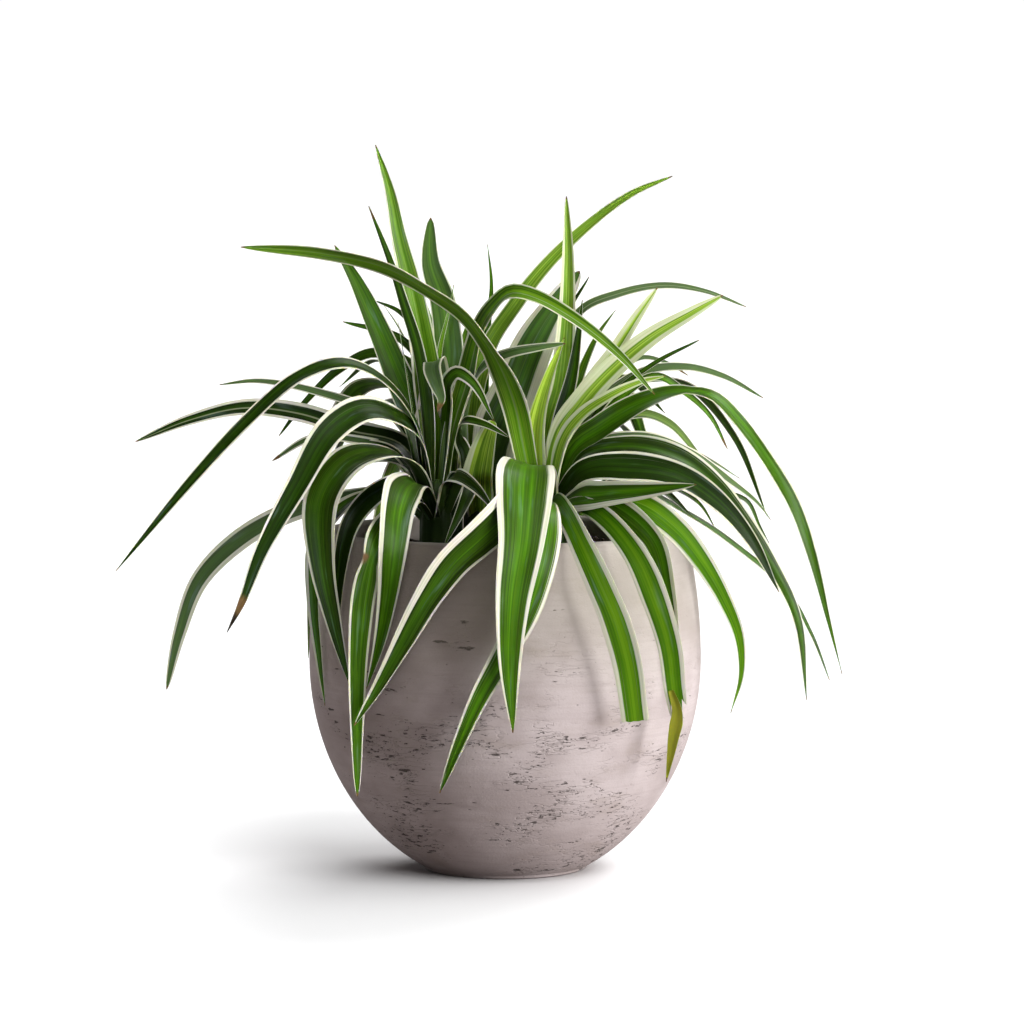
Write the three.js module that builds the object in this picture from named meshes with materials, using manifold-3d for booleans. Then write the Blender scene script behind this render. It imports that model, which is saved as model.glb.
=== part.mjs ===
// A potted spider plant: a round stone-look pot, its soil, and five leafy rosettes whose cream-edged
// leaves stand up in the middle and arch down over the rim.
// Millimetres, +Z up. The origin is the middle of the pot's foot, and the front looks towards -Y.
import * as THREE from "three";
import { mergeVertices } from "three/addons/utils/BufferGeometryUtils.js";
import Module from "manifold-3d";

const wasm = await Module();
wasm.setup();

// ---- Driving dimensions ----

const POT = {
  height: 174,
  belly: 100.2, // radius at the widest place
  bellyHeight: 108,
  upperReach: 172, // half height of the ellipse that gives the wall above the belly
  lowerReach: 117.5, // and of the one that gives it below
  footHeight: 1.6, // the foot's edge is rounded off over this height
  footRadius: 40,
  wall: 6.5,
  floor: 9,
  lip: 2.6, // radius of the rounded lip
  sides: 42,
};
const SOIL = { level: 161, bumps: 2.2, rings: 2 };
const GAP = 0.3; // clearance between neighbouring pieces
const CROWN = {
  radius: 8.5,
  neck: 8,
  bottom: 140, // it stands this high in its hole in the soil
  shoulder: 176,
  top: 202,
  sides: 10,
  rootHeight: 176, // the leaves start inside it, this high and this far from its axis
  rootOffset: 3,
};
const BLADE = {
  thickness: 0.8,
  fold: 0.2, // how far the edges stand up, as a share of the half width
  flatBelow: 8, // narrower leaves are flat
  steps: 60, // a route is walked in this many steps
  bendPerSegment: 20, // degrees
  fewestSegments: 4,
  mostSegments: 10,
  baseShare: 0.3, // width where a leaf leaves its crown, as a share of its full width
  fullFrom: 0.35, // it has its full width from here
  taperFrom: 0.38, // and narrows to its tip from here
  point: 0.75, // how its sides run in to the tip: less is blunter
  tip: 0.5, // half width of the blunt end of a tip
};
const COLOURS = { pot: 0xb8aca8, soil: 0x2b231d, leafFront: 0x4c8420, leafBack: 0x3f6f22 };

// ---- The leaves that the front shows ----
// Each has its greatest width, how many degrees its upper face turns towards the front at even shares from
// root to tip, and the places its midrib passes after it leaves the crown. ends is the share of the grown
// length at which a cut leaf stops. free marks a strip that hangs from another leaf and not from a crown.
// point is how its sides run in to the tip: less is blunter.

const LEFT = { centre: [-35, -12], leaves: [
  { name: "long_arch", width: 12, face: [25, 28, 12, 35, 50], via: [
    [-45, -20, 228], [-60, -30, 250], [-80, -42, 260], [-102, -55, 254], [-126, -66, 234],
    [-155, -76, 203], [-191, -84, 160]] },
  { name: "broad_arch", width: 16, face: [25, 30, 38, 45], via: [
    [-43, -22, 221], [-53, -32, 232], [-70, -45, 237], [-87, -58, 227], [-103, -68, 200],
    [-120, -74, 169], [-130, -76, 143], [-137, -77, 129]] },
  { name: "broad_drape", width: 24, face: [25, 40], via: [
    [-47, -24, 207], [-60, -38, 215], [-78, -55, 211], [-90, -66, 194], [-90, -72, 164], [-84, -75, 133],
    [-77, -76, 104]] },
  { name: "inner_drape", width: 13, face: [30, 50], via: [
    [-50, -22, 199], [-65, -38, 194], [-77, -52, 180], [-82, -58, 158], [-84, -60, 123]] },
  { name: "far_drape", width: 11, face: [30, 60, 80], via: [
    [-56, -10, 193], [-78, -25, 190], [-94, -38, 171], [-96, -42, 142], [-93, -46, 112], [-90, -48, 89]] },
  { name: "front_drape", width: 20, face: [20, 35], via: [
    [-43, -30, 198], [-49, -52, 200], [-53, -74, 191], [-55, -85, 173], [-58, -87, 146], [-62, -87, 124],
    [-68, -85, 102]] },
  { name: "torn_drape", width: 14, face: [25, 45], via: [
    [-45, -30, 191], [-54, -62, 186], [-63, -85, 174], [-69, -88, 151], [-72, -87, 121], [-73, -82, 86],
    [-73, -74, 47]] },
  { name: "low_sweep", width: 14, face: [70, 80, 95, 110, 120], point: 0.5, via: [
    [-53, -5, 190], [-84, 8, 188], [-110, 12, 181], [-136, 8, 167], [-156, 0, 147], [-166, -8, 120],
    [-172, -14, 93]] },
  { name: "back_sweep", width: 13, face: [45, 60, 75, 85, 90], point: 0.55, via: [
    [-51, 5, 215], [-80, 18, 223], [-105, 24, 231], [-134, 26, 234], [-162, 24, 228], [-190, 20, 217]] },
  { name: "pale_slip", width: 9, face: [20, 60], point: 0.5, via: [
    [-54, 2, 211], [-79, 8, 219], [-100, 10, 219], [-119, 8, 208]] },
  { name: "short_slip", width: 6, face: [20, 60], via: [
    [-54, 10, 207], [-67, 14, 213], [-81, 16, 209]] },
  { name: "slim_sweep", width: 7, face: [35, 50, 85], point: 0.55, via: [
    [-48, 5, 229], [-67, 14, 234], [-87, 20, 240], [-111, 24, 246], [-129, 26, 248], [-147, 26, 246]] },
  { name: "dark_upright", width: 17, face: [50, 62], point: 0.6, via: [
    [-43, -6, 225], [-54, 0, 251], [-66, 6, 279], [-76, 10, 300], [-87, 12, 318]] },
  { name: "tall", width: 15, face: [45, 45], point: 0.65, via: [
    [-38, -6, 230], [-41, 2, 260], [-47, 8, 293], [-54, 12, 321], [-59, 14, 346], [-66, 14, 369]] },
  { name: "tall_slim", width: 9, face: [-62, -75], point: 0.6, via: [
    [-39, -12, 230], [-44, -8, 265], [-51, -6, 288], [-58, -4, 310], [-69, -2, 338]] },
  { name: "tall_broad", width: 19, face: [10, 10], point: 0.48, via: [
    [-34.5, 2, 230], [-29, 10, 262], [-32, 14, 290], [-38, 16, 309], [-38, 17, 332]] },
  { name: "right_blade", width: 5, face: [45, 45], via: [
    [-35, -4, 225], [-34.5, 3, 246], [-33, 4, 266], [-29, 5, 283], [-26, 6, 298]] },
  { name: "sliver", width: 4, face: [25, 25], via: [
    [-46, -18, 230], [-50, -18, 256], [-54, -16, 281]] },
  { name: "over_arch", width: 12, face: [75, 80, 80, 60, 25, 40, 60], point: 0.6, via: [
    [-27, -11, 222], [-19, -8, 250], [-12.5, -18, 275], [-5, -32, 288], [3, -40, 295], [15, -46, 293],
    [37, -58, 281], [58, -66, 264], [74, -70, 246]] },
  { name: "bent_tip", width: 22, face: [-10, -10, 20, 0, -25], point: 0.5, via: [
    [-37, -6, 222], [-35.5, -4, 240], [-35, -7, 254], [-35.5, -13, 260], [-36.5, -17.5, 256.5],
    [-34.5, -20, 249], [-32, -22, 241], [-34, -23, 235]] },
  { name: "curl_over", width: 13, face: [30, 60, 80, 65], via: [
    [-31, -9, 219], [-29.5, -10, 237], [-29, -14, 249], [-24, -18.5, 254.5], [-17.5, -21, 251],
    [-12.5, -23, 244.5], [-9, -25, 237.5], [-5.5, -26, 230.5]] },
  { name: "front_right", width: 12, face: [25, 30], via: [
    [-28, -30, 201], [-22.5, -44, 203.5], [-13.5, -56, 198], [-5, -64, 188]] },
  { name: "small_hang", width: 11, face: [5, 10], via: [
    [-23.5, -26, 201.5], [-17.5, -44, 200], [-20.5, -58, 191], [-30, -70, 171]] },
] };

const RIGHT = { centre: [19.5, -22], leaves: [
  { name: "cross_left", width: 16, face: [85, 88, 150, 150, 130, 95], point: 0.6, via: [
    [9, -30, 219], [5, -37, 239], [-2, -43, 258], [-11, -47, 273], [-21, -47, 285], [-37, -45, 296],
    [-60, -40, 308], [-92, -38, 315], [-132, -36, 318]] },
  { name: "centre_fall", width: 29, face: [10, 15], via: [
    [17, -40, 202], [12, -60, 211], [10, -84, 206], [8, -107, 177], [4, -114, 149], [2.5, -113, 119],
    [4, -107, 83]] },
  { name: "left_fall", width: 24, face: [25, 5], via: [
    [6, -60, 190.5], [1, -84, 191], [-4, -97, 186], [-13, -104, 178], [-25.5, -107, 166.5],
    [-38, -103, 148.5], [-50, -96, 126.5], [-62, -89, 104], [-74, -86, 84]] },
  { name: "under_fall", width: 19, face: [0, -30, -45, -55], point: 0.65, via: [
    [22, -60, 195], [24, -88, 188], [21, -103, 167], [13, -107, 144], [0, -108, 121], [-12, -106, 101],
    [-22, -101, 78], [-32, -90, 51]] },
  { name: "cut_fall", width: 16, face: [20, 0], ends: 0.5, via: [
    [25, -56, 192], [30, -77, 188], [38, -95, 173], [46, -103, 156], [54, -104, 137], [60, -101, 115],
    [64, -95, 87]] },
  { name: "right_fall", width: 14, face: [30, 15], ends: 0.6, via: [
    [35, -50, 190], [50, -76, 185], [65, -91, 167], [74, -91, 146], [81, -87, 123], [84, -82, 100],
    [87, -78, 86]] },
  { name: "dry_strip", width: 8, face: [20, 25], free: true, via: [
    [82, -82, 101], [85, -80, 90], [83, -78, 75], [80, -72, 54]] },
  { name: "shade_fall", width: 13, face: [40, 50], via: [
    [43, -45, 192], [58, -60, 188], [74, -69, 173], [80, -71, 150], [84, -68, 124], [88, -62, 88]] },
  { name: "right_broad", width: 14, face: [35, 50], point: 0.9, via: [
    [43, -42, 192], [67, -58, 191], [85, -66, 179], [98, -70, 163], [109, -72, 144], [116, -72, 126],
    [117, -71, 107], [112, -69, 88]] },
  { name: "front_flat", width: 18, face: [30, 45], via: [
    [33, -46, 192], [47, -66, 196], [71, -86, 200], [93, -102, 204]] },
  { name: "long_right", width: 16, face: [60, 80, 2, 25, 60, 70], point: 1.05, via: [
    [33, -28, 216], [48, -34, 228], [68, -40, 240], [88, -46, 246], [103, -50, 244], [114, -52, 232],
    [127.5, -55, 213], [142, -57, 190], [152.5, -58, 166], [161, -58, 133], [168, -57, 106]] },
  { name: "droop_long", width: 16, face: [30, 45], via: [
    [38, -24, 212], [60, -26, 218], [86, -28, 213], [106, -30, 198], [122, -32, 177], [136, -33, 155],
    [147, -34, 131], [152, -34, 90]] },
  { name: "droop_dark", width: 17, face: [40, 45], via: [
    [38, -36, 205], [63, -42, 208], [87, -46, 204], [107, -48, 191], [123, -49, 172], [137, -48, 146]] },
  { name: "top_pale", width: 12, face: [30, 35, 60], via: [
    [43, -12, 215], [69, -8, 221], [94, -6, 213], [114, -6, 199], [128, -7, 188], [135, -8, 179]] },
  { name: "top_thin", width: 9, face: [20, 25, 60], via: [
    [48, 0, 217], [74, 6, 220], [100, 8, 211], [120, 8, 199]] },
  { name: "side_dark", width: 9, face: [45, 60, 80], via: [
    [69, 5, 204], [100, 10, 193], [123, 8, 188], [130, 4, 175], [135, 2, 166]] },
  { name: "thin_far", width: 7, face: [45, 95], point: 0.6, via: [
    [59, 0, 196], [95, 6, 180], [120, 6, 163], [143, 4, 143], [157, 2, 119], [166, 0, 96]] },
  { name: "small_right", width: 7, face: [40, 60, 90], via: [
    [69, 12, 198], [98, 16, 187], [109, 15, 171]] },
  { name: "mid_shade", width: 12, face: [30, 40], via: [
    [53, -22, 198], [78, -30, 196], [94, -36, 183]] },
  { name: "bright_short", width: 12, face: [40, 40], via: [
    [16, -24, 226], [21, -20, 248], [30, -16, 272]] },
  { name: "bright_tall", width: 12, face: [40, 40], point: 0.55, via: [
    [22, -18, 225], [28, -16, 248], [31, -14, 276], [32, -12, 311], [31, -10, 343]] },
  { name: "dark_slim", width: 11, face: [45, 45], via: [
    [28, -22, 228], [34, -20, 253], [37, -18, 273], [39, -17, 291]] },
  { name: "pale_up", width: 11, face: [45, 75], point: 0.5, via: [
    [30, -20, 226], [43, -18, 248], [56, -16, 266], [67, -14, 283], [77, -12, 297]] },
  { name: "cream_right", width: 14, face: [60, 85], point: 0.5, via: [
    [27, -28, 221], [38, -30, 239], [53, -32, 256], [73, -34, 273], [93, -36, 285], [109, -36, 294]] },
  { name: "bright_low", width: 9, face: [45, 75], point: 0.6, via: [
    [29, -34, 221], [38, -38, 234], [52, -42, 244], [67, -44, 251], [80, -45, 254]] },
  { name: "thin_line", width: 4, face: [20, 60], point: 0.4, via: [
    [48, -5, 235], [74, 0, 257], [99, 4, 270]] },
  { name: "grey_arch", width: 7, face: [35, 50, 75], point: 0.5, via: [
    [43, -2, 232], [69, 6, 253], [92, 10, 256], [112, 12, 251], [132, 12, 240]] },
  { name: "grey_short", width: 5, face: [25, 60], point: 0.5, via: [
    [49, 15, 244], [69, 20, 260], [82, 22, 258], [94, 22, 251]] },
  { name: "thin_drop", width: 6, face: [40, 60, 80], point: 0.5, via: [
    [53, -10, 235], [76, -8, 252], [91, -6, 244], [104, -6, 232], [113, -6, 215]] },
  { name: "olive", width: 8, face: [35, 50, 80], point: 0.6, via: [
    [48, 5, 224], [69, 10, 232], [84, 12, 227], [97, 12, 213], [107, 10, 198]] },
] };

const MIDDLE = { centre: [-13, 20], leaves: [
  { name: "tall_right", width: 10, face: [50, 70], point: 0.55, via: [
    [-15, 24, 238], [-8, 26, 266], [4, 28, 285], [21, 30, 307], [43, 32, 328], [65, 32, 344],
    [86, 32, 353]] },
  { name: "broad_dark", width: 25, face: [75, 95], point: 0.5, via: [
    [-4, 16, 218], [5, 12, 241], [15, 9, 267], [27, 7, 288], [38, 6, 305]] },
  { name: "small_up", width: 6, face: [20, 20], via: [
    [-11, 30, 238], [-9, 32, 274], [-7, 32, 297], [-9, 30, 318]] },
  { name: "flat_tip", width: 11, face: [12, 20, 50, 75], point: 0.5, via: [
    [-20.5, 8, 219], [-18, 0, 239.5], [-10.5, -14, 257.5], [1.5, -22, 264], [17.5, -26, 267.5],
    [30.5, -28, 269.5]] },
  { name: "round_curl", width: 12, face: [10, 20, 40, 60], via: [
    [-20, 6, 212], [-23.5, 0, 221], [-21, -6, 229], [-10.5, -12, 228], [2.5, -17, 221.5]] },
  { name: "young_bright", width: 18, face: [140, 152], point: 0.4, via: [
    [-14, -3, 200], [-12.5, -6, 209], [-10, -8, 219], [-6, -10, 230]] },
] };

const BACK_LEFT = { centre: [-30, 38], leaves: [
  { name: "far_bend", width: 8, face: [30, 60, 90], point: 0.55, via: [
    [-44, 30, 251], [-67, 34, 262], [-85, 36, 254], [-103, 36, 237], [-117, 34, 219]] },
  { name: "dart", width: 6, face: [40, 80], point: 0.5, via: [
    [-39, 30, 264], [-54, 32, 283], [-67, 34, 289]] },
  { name: "dark_dart", width: 7, face: [40, 80], point: 0.5, via: [
    [-39, 34, 248], [-54, 38, 269], [-84, 40, 278]] },
] };

const BACK_RIGHT = { centre: [24, 34], leaves: [
  { name: "right_arch", width: 7, face: [35, 50, 70], point: 0.5, via: [
    [28, 22, 249], [38, 24, 283], [59, 26, 293], [82, 28, 297], [103, 28, 294], [124, 28, 286]] },
  { name: "tip_right", width: 6, face: [60, 90], point: 0.5, via: [
    [29, 16, 275], [43, 14, 302]] },
] };

// ---- The leaves behind, which the front hides ----
// They fan out from the two rosettes at the back by rule: these habits take turns round the fan. A habit
// gives how far the leaf reaches, its width, and its height at shares of that reach.

const HABITS = [
  { reach: 114, width: 14, rise: [[0.12, 214], [0.34, 240], [0.6, 240], [0.84, 210], [1, 166]] },
  { reach: 42, width: 12, rise: [[0.2, 220], [0.45, 248], [0.72, 268], [1, 280]] },
  { reach: 80, width: 17, rise: [[0.18, 200], [0.46, 212], [0.76, 190], [0.95, 142], [1, 96]] },
  { reach: 92, width: 11, rise: [[0.14, 218], [0.36, 244], [0.66, 250], [1, 232]] },
  { reach: 92, width: 15, rise: [[0.16, 208], [0.42, 230], [0.74, 214], [0.94, 168], [1, 124]] },
];
const FANS = [
  { rosette: BACK_LEFT, from: 64, to: 156, count: 13, seed: 11 },
  { rosette: BACK_RIGHT, from: 24, to: 116, count: 13, seed: 29 },
];
const VARIATION = { turn: 0.5, reach: 0.16, height: 9, width: 0.16, face: 18 };

const radians = THREE.MathUtils.degToRad;
const clamp = THREE.MathUtils.clamp;

// ---- Solids ----

function geometryOf(solid) {
  const mesh = solid.getMesh();
  return new THREE.BufferGeometry()
    .setAttribute("position", new THREE.BufferAttribute(new Float32Array(mesh.vertProperties), 3))
    .setIndex(new THREE.BufferAttribute(new Uint32Array(mesh.triVerts), 1));
}

function solidOf(geometry) {
  const bare = geometry.clone();
  bare.deleteAttribute("normal");
  bare.deleteAttribute("uv");
  const merged = mergeVertices(bare, 1e-4);
  return new wasm.Manifold(new wasm.Mesh({
    numProp: 3,
    vertProperties: new Float32Array(merged.attributes.position.array),
    triVerts: new Uint32Array(merged.index.array),
  }));
}

// A profile given as [radius, height] pairs, turned about the upright axis.
function turned(profile, sides) {
  const points = profile.map(([radius, height]) => new THREE.Vector2(radius, height));
  return new THREE.LatheGeometry(points, sides).rotateX(Math.PI / 2);
}

// ---- Pot ----

// The pot's wall is two half ellipses, stacked at the belly; inset moves it inwards.
function wallRadius(height, inset = 0) {
  const above = height > POT.bellyHeight;
  const reach = above ? POT.upperReach : POT.lowerReach - (inset ? POT.floor + GAP : 0);
  return (POT.belly - inset) * Math.sqrt(1 - ((height - POT.bellyHeight) / reach) ** 2);
}

// Heights between two levels, closer together at the bottom, where the wall turns fastest.
function wallHeights(low, high, count) {
  return Array.from({ length: count + 1 }, (_, i) => low + (high - low) * (i / count) ** 1.35);
}

// The cavity's wall up to the soil's surface. The soil follows the same corners, so it clears the pot evenly.
const CAVITY = wallHeights(POT.floor, SOIL.level, 5);

function potGeometry() {
  const shoulder = POT.height - POT.lip;
  const outside = wallHeights(POT.footHeight, shoulder, 10).map((z) => [wallRadius(z), z]);
  const inside = [...CAVITY, shoulder].map((z) => [wallRadius(z, POT.wall), z]).reverse();
  const outerLip = outside.at(-1)[0];
  const innerLip = inside[0][0];
  const middle = (outerLip + innerLip) / 2;
  const half = (outerLip - innerLip) / 2;
  const lip = [40, 90, 140].map((angle) =>
    [middle + half * Math.cos(radians(angle)), shoulder + POT.lip * Math.sin(radians(angle))]);
  return turned([[0, 0], [POT.footRadius, 0], ...outside, ...lip, ...inside, [0, POT.floor]], POT.sides);
}

// ---- Soil ----

function soilHeight(x, y) {
  const wave = Math.sin(0.11 * x + 1.3) * Math.cos(0.13 * y) + 0.6 * Math.sin(0.27 * x - 0.2 * y);
  return SOIL.level + SOIL.bumps * wave;
}

function soilSolid(crowns) {
  const inset = POT.wall + GAP;
  const side = CAVITY.map((z) => [wallRadius(z, inset), Math.max(z, POT.floor + GAP)]);
  const edge = side.at(-1)[0];
  const top = Array.from({ length: SOIL.rings }, (_, i) => [edge * (1 - (i + 1) / (SOIL.rings + 1)), SOIL.level]);
  const geometry = turned([[0, POT.floor + GAP], ...side, ...top, [0, SOIL.level]], POT.sides);
  const place = geometry.attributes.position;
  for (let i = 0; i < place.count; i++) {
    const [x, y] = [place.getX(i), place.getY(i)];
    const onTop = place.getZ(i) > SOIL.level - 0.01 && Math.hypot(x, y) < edge - 1;
    if (onTop) place.setZ(i, soilHeight(x, y));
  }
  return crowns.reduce((soil, [x, y]) => {
    const hole = new THREE.CylinderGeometry(CROWN.radius + GAP, CROWN.radius + GAP, 60, 20)
      .rotateX(Math.PI / 2).translate(x, y, CROWN.bottom - GAP + 30);
    return soil.subtract(solidOf(hole));
  }, solidOf(geometry));
}

// ---- Leaves ----

// The half width of a leaf at a share u of its grown length.
function halfWidth(leaf, u) {
  const base = BLADE.baseShare + (1 - BLADE.baseShare) * clamp(u / BLADE.fullFrom, 0, 1);
  const taper = clamp((1 - u) / (1 - BLADE.taperFrom), 0, 1) ** (leaf.point ?? BLADE.point);
  return Math.max(BLADE.tip, (leaf.width / 2) * base * taper);
}

// A row of values spaced evenly from root to tip, read at one share of the way.
function readRow(row, share) {
  const place = share * (row.length - 1);
  const low = Math.min(Math.floor(place), row.length - 2);
  return THREE.MathUtils.lerp(row[low], row[low + 1], place - low);
}

// Points along the midrib, each with the way along, the way across and the way out of the upper face.
// The face starts towards the plant's middle and is carried along without twisting, then turned.
function walkLeaf(route, face) {
  const curve = new THREE.CatmullRomCurve3(route, false, "centripetal");
  curve.arcLengthDivisions = 400;
  const points = curve.getSpacedPoints(BLADE.steps);
  const outward = points.at(-1).clone().sub(points[0]).setZ(0).normalize();
  let normal = outward.clone().negate();
  let side = 1;
  return points.map((point, i) => {
    const before = points[Math.max(i - 1, 0)];
    const after = points[Math.min(i + 1, BLADE.steps)];
    const along = after.clone().sub(before).normalize();
    normal.addScaledVector(along, -normal.dot(along)).normalize();
    const across = along.clone().cross(normal);
    if (i === 0) side = across.y <= 0 ? 1 : -1;
    const turn = radians(readRow(face, i / BLADE.steps)) * side;
    const up = normal.clone().multiplyScalar(Math.cos(turn)).addScaledVector(across, Math.sin(turn));
    return { point, along, up, across: up.clone().cross(along) };
  });
}

// A folded blade: each ring has its left edge, midrib and right edge, on the upper face and the lower one.
// A narrow leaf is flat, with no midrib.
function bladeSolid(leaf, centre) {
  const via = leaf.via.map((p) => new THREE.Vector3(...p));
  if (!leaf.free) {
    const way = new THREE.Vector2(via[0].x - centre[0], via[0].y - centre[1]).setLength(CROWN.rootOffset);
    via.unshift(new THREE.Vector3(centre[0] + way.x, centre[1] + way.y, CROWN.rootHeight));
  }
  const walk = walkLeaf(via, leaf.face);
  const bend = walk.slice(1).reduce((sum, at, i) => sum + at.along.angleTo(walk[i].along), 0);
  const wanted = Math.round(bend / radians(BLADE.bendPerSegment)) + 3;
  const segments = clamp(wanted, BLADE.fewestSegments, BLADE.mostSegments);
  const ways = leaf.width < BLADE.flatBelow ? [-1, 1] : [-1, 0, 1];
  const place = [];
  for (let ring = 0; ring <= segments; ring++) {
    const share = ring / segments;
    const at = walk[Math.round(share * BLADE.steps)];
    const half = halfWidth(leaf, share * (leaf.ends ?? 1));
    for (const under of [0, BLADE.thickness])
      for (const way of ways) {
        const lift = Math.abs(way) * BLADE.fold * half - under;
        const corner = at.point.clone().addScaledVector(at.across, way * half).addScaledVector(at.up, lift);
        place.push(corner.x, corner.y, corner.z);
      }
  }
  const wide = ways.length;
  const corners = 2 * wide;
  const upper = ways.map((_, i) => i);
  const around = [...upper, ...upper.map((i) => corners - 1 - i)];
  const index = [];
  const quad = (a, b, c, d) => index.push(a, c, b, a, d, c);
  for (let ring = 0; ring < segments; ring++)
    around.forEach((from, i) => {
      const to = around[(i + 1) % corners];
      const [a, b, c, d] = [from, to, to + corners, from + corners].map((corner) => corner + ring * corners);
      const below = i >= wide && i < corners - 1;
      if (below) quad(b, c, d, a); // split the same way as the upper face
      else quad(a, b, c, d);
    });
  const last = segments * corners;
  upper.slice(1).forEach((i) => {
    quad(wide + i - 1, wide + i, i, i - 1);
    quad(last + i - 1, last + i, last + wide + i, last + wide + i - 1);
  });
  const geometry = new THREE.BufferGeometry()
    .setAttribute("position", new THREE.BufferAttribute(new Float32Array(place), 3))
    .setIndex(index);
  return solidOf(geometry);
}

// Numbers from 0 to 1 that come out the same each time.
function draws(seed) {
  let state = seed;
  return () => {
    state = (state * 16807) % 2147483647;
    return state / 2147483647;
  };
}

function fanLeaves({ rosette, from, to, count, seed }) {
  const draw = draws(seed);
  const vary = (amount) => amount * (2 * draw() - 1);
  return Array.from({ length: count }, (_, i) => {
    const habit = HABITS[i % HABITS.length];
    const angle = radians(from + ((to - from) * (i + 0.5 + vary(VARIATION.turn))) / count);
    const reach = habit.reach * (1 + vary(VARIATION.reach));
    const lift = vary(VARIATION.height);
    const via = habit.rise.map(([share, height]) => [
      rosette.centre[0] + reach * share * Math.cos(angle),
      rosette.centre[1] + reach * share * Math.sin(angle),
      height + lift * share,
    ]);
    const turn = vary(VARIATION.face);
    return { width: habit.width * (1 + vary(VARIATION.width)), face: [turn, 2 * turn], via };
  });
}

// The short stem that the leaves wrap: it stands in its hole in the soil.
function crownSolid([x, y]) {
  const { radius, neck, bottom, shoulder, top, sides } = CROWN;
  const profile = [[0, bottom], [radius, bottom], [radius, shoulder], [neck, top - 3], [neck / 2, top], [0, top]];
  return solidOf(turned(profile, sides).translate(x, y, 0));
}

// Small hollows that the crossing leaves seal are filled, by keeping the outer body alone.
function rosetteSolid(rosette) {
  const hidden = FANS.filter((fan) => fan.rosette === rosette).flatMap(fanLeaves);
  const whole = [...rosette.leaves, ...hidden].reduce(
    (fused, leaf) => fused.add(bladeSolid(leaf, rosette.centre)), crownSolid(rosette.centre));
  return whole.decompose().reduce((best, body) => (body.volume() > best.volume() ? body : best));
}

// ---- The plant in its pot ----

function piece(name, geometry, colour, roughness) {
  const material = new THREE.MeshStandardMaterial({ color: colour, roughness, metalness: 0 });
  const mesh = new THREE.Mesh(geometry, material);
  mesh.name = name;
  return mesh;
}

const ROSETTES = {
  rosette_left: LEFT,
  rosette_right: RIGHT,
  rosette_middle: MIDDLE,
  rosette_back_left: BACK_LEFT,
  rosette_back_right: BACK_RIGHT,
};

const plant = new THREE.Group();
plant.add(piece("pot", potGeometry(), COLOURS.pot, 0.9));
const crowns = Object.values(ROSETTES).map((rosette) => rosette.centre);
plant.add(piece("soil", geometryOf(soilSolid(crowns)), COLOURS.soil, 1));
for (const [name, rosette] of Object.entries(ROSETTES)) {
  const colour = name.includes("back") ? COLOURS.leafBack : COLOURS.leafFront;
  plant.add(piece(name, geometryOf(rosetteSolid(rosette)), colour, 0.45));
}

export default plant;
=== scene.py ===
"""A potted spider plant: leafy rosettes with cream-edged blades in a round stone-look pot.

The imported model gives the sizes. The classes below dress it: the pot, its soil, the five rosettes and
the studio that shows them. Leaf routes are in millimetres, as in the model; meshes are in metres.
"""

import logging
import math
from dataclasses import dataclass, field
from enum import Enum
from typing import Callable, ClassVar, Sequence

import bpy
import numpy as np
from mathutils import Euler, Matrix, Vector, noise


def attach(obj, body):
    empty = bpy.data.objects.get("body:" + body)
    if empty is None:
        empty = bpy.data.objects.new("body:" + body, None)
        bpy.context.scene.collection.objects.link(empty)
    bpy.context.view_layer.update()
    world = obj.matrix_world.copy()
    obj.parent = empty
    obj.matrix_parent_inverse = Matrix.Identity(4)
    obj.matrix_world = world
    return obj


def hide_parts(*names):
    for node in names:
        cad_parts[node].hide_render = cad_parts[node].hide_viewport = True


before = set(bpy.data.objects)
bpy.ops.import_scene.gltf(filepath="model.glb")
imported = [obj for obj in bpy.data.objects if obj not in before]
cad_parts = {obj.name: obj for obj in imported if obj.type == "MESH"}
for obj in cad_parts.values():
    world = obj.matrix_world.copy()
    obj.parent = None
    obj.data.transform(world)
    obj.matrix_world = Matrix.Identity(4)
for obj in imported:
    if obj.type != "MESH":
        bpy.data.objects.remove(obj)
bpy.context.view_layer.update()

LOG = logging.getLogger("spider_plant")
MM = 0.001
ROOT = "root"
Point = tuple[float, float, float]


class Tone(Enum):
    """How a leaf is coloured: how light, how yellow and how grey its green is, from 0 to 1.
    The lightness is partly painted light: DARK and DEEP are painted shade for leaves that lie in shadow,
    and FRESH and BRIGHT are lightened as painted light for lit and backlit leaves.
    """

    DARK = (-0.2, 0.0, 0.0)
    DEEP = (0.1, 0.05, 0.0)
    GREEN = (0.38, 0.08, 0.0)
    FRESH = (0.72, 0.12, 0.0)
    LIT = (0.62, 0.35, 0.0)
    BRIGHT = (1.1, 2.4, 0.0)
    SAGE = (0.42, 0.12, 0.3)
    PALE = (0.42, 0.15, 0.7)
    PALE_GREEN = (0.78, 0.9, 0.12)
    CREAM = (0.9, 1.6, 0.08)
    OLIVE = (0.35, 0.7, 0.45)
    DRY = (0.5, 0.5, 0.0)


class Tip(Enum):
    """How a leaf ends, with the share of its length that is dried out."""

    FINE = 0.012
    BROWN = 0.05
    BLACK = 0.09
    CUT = 0.006
    TORN = 0.02


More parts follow.
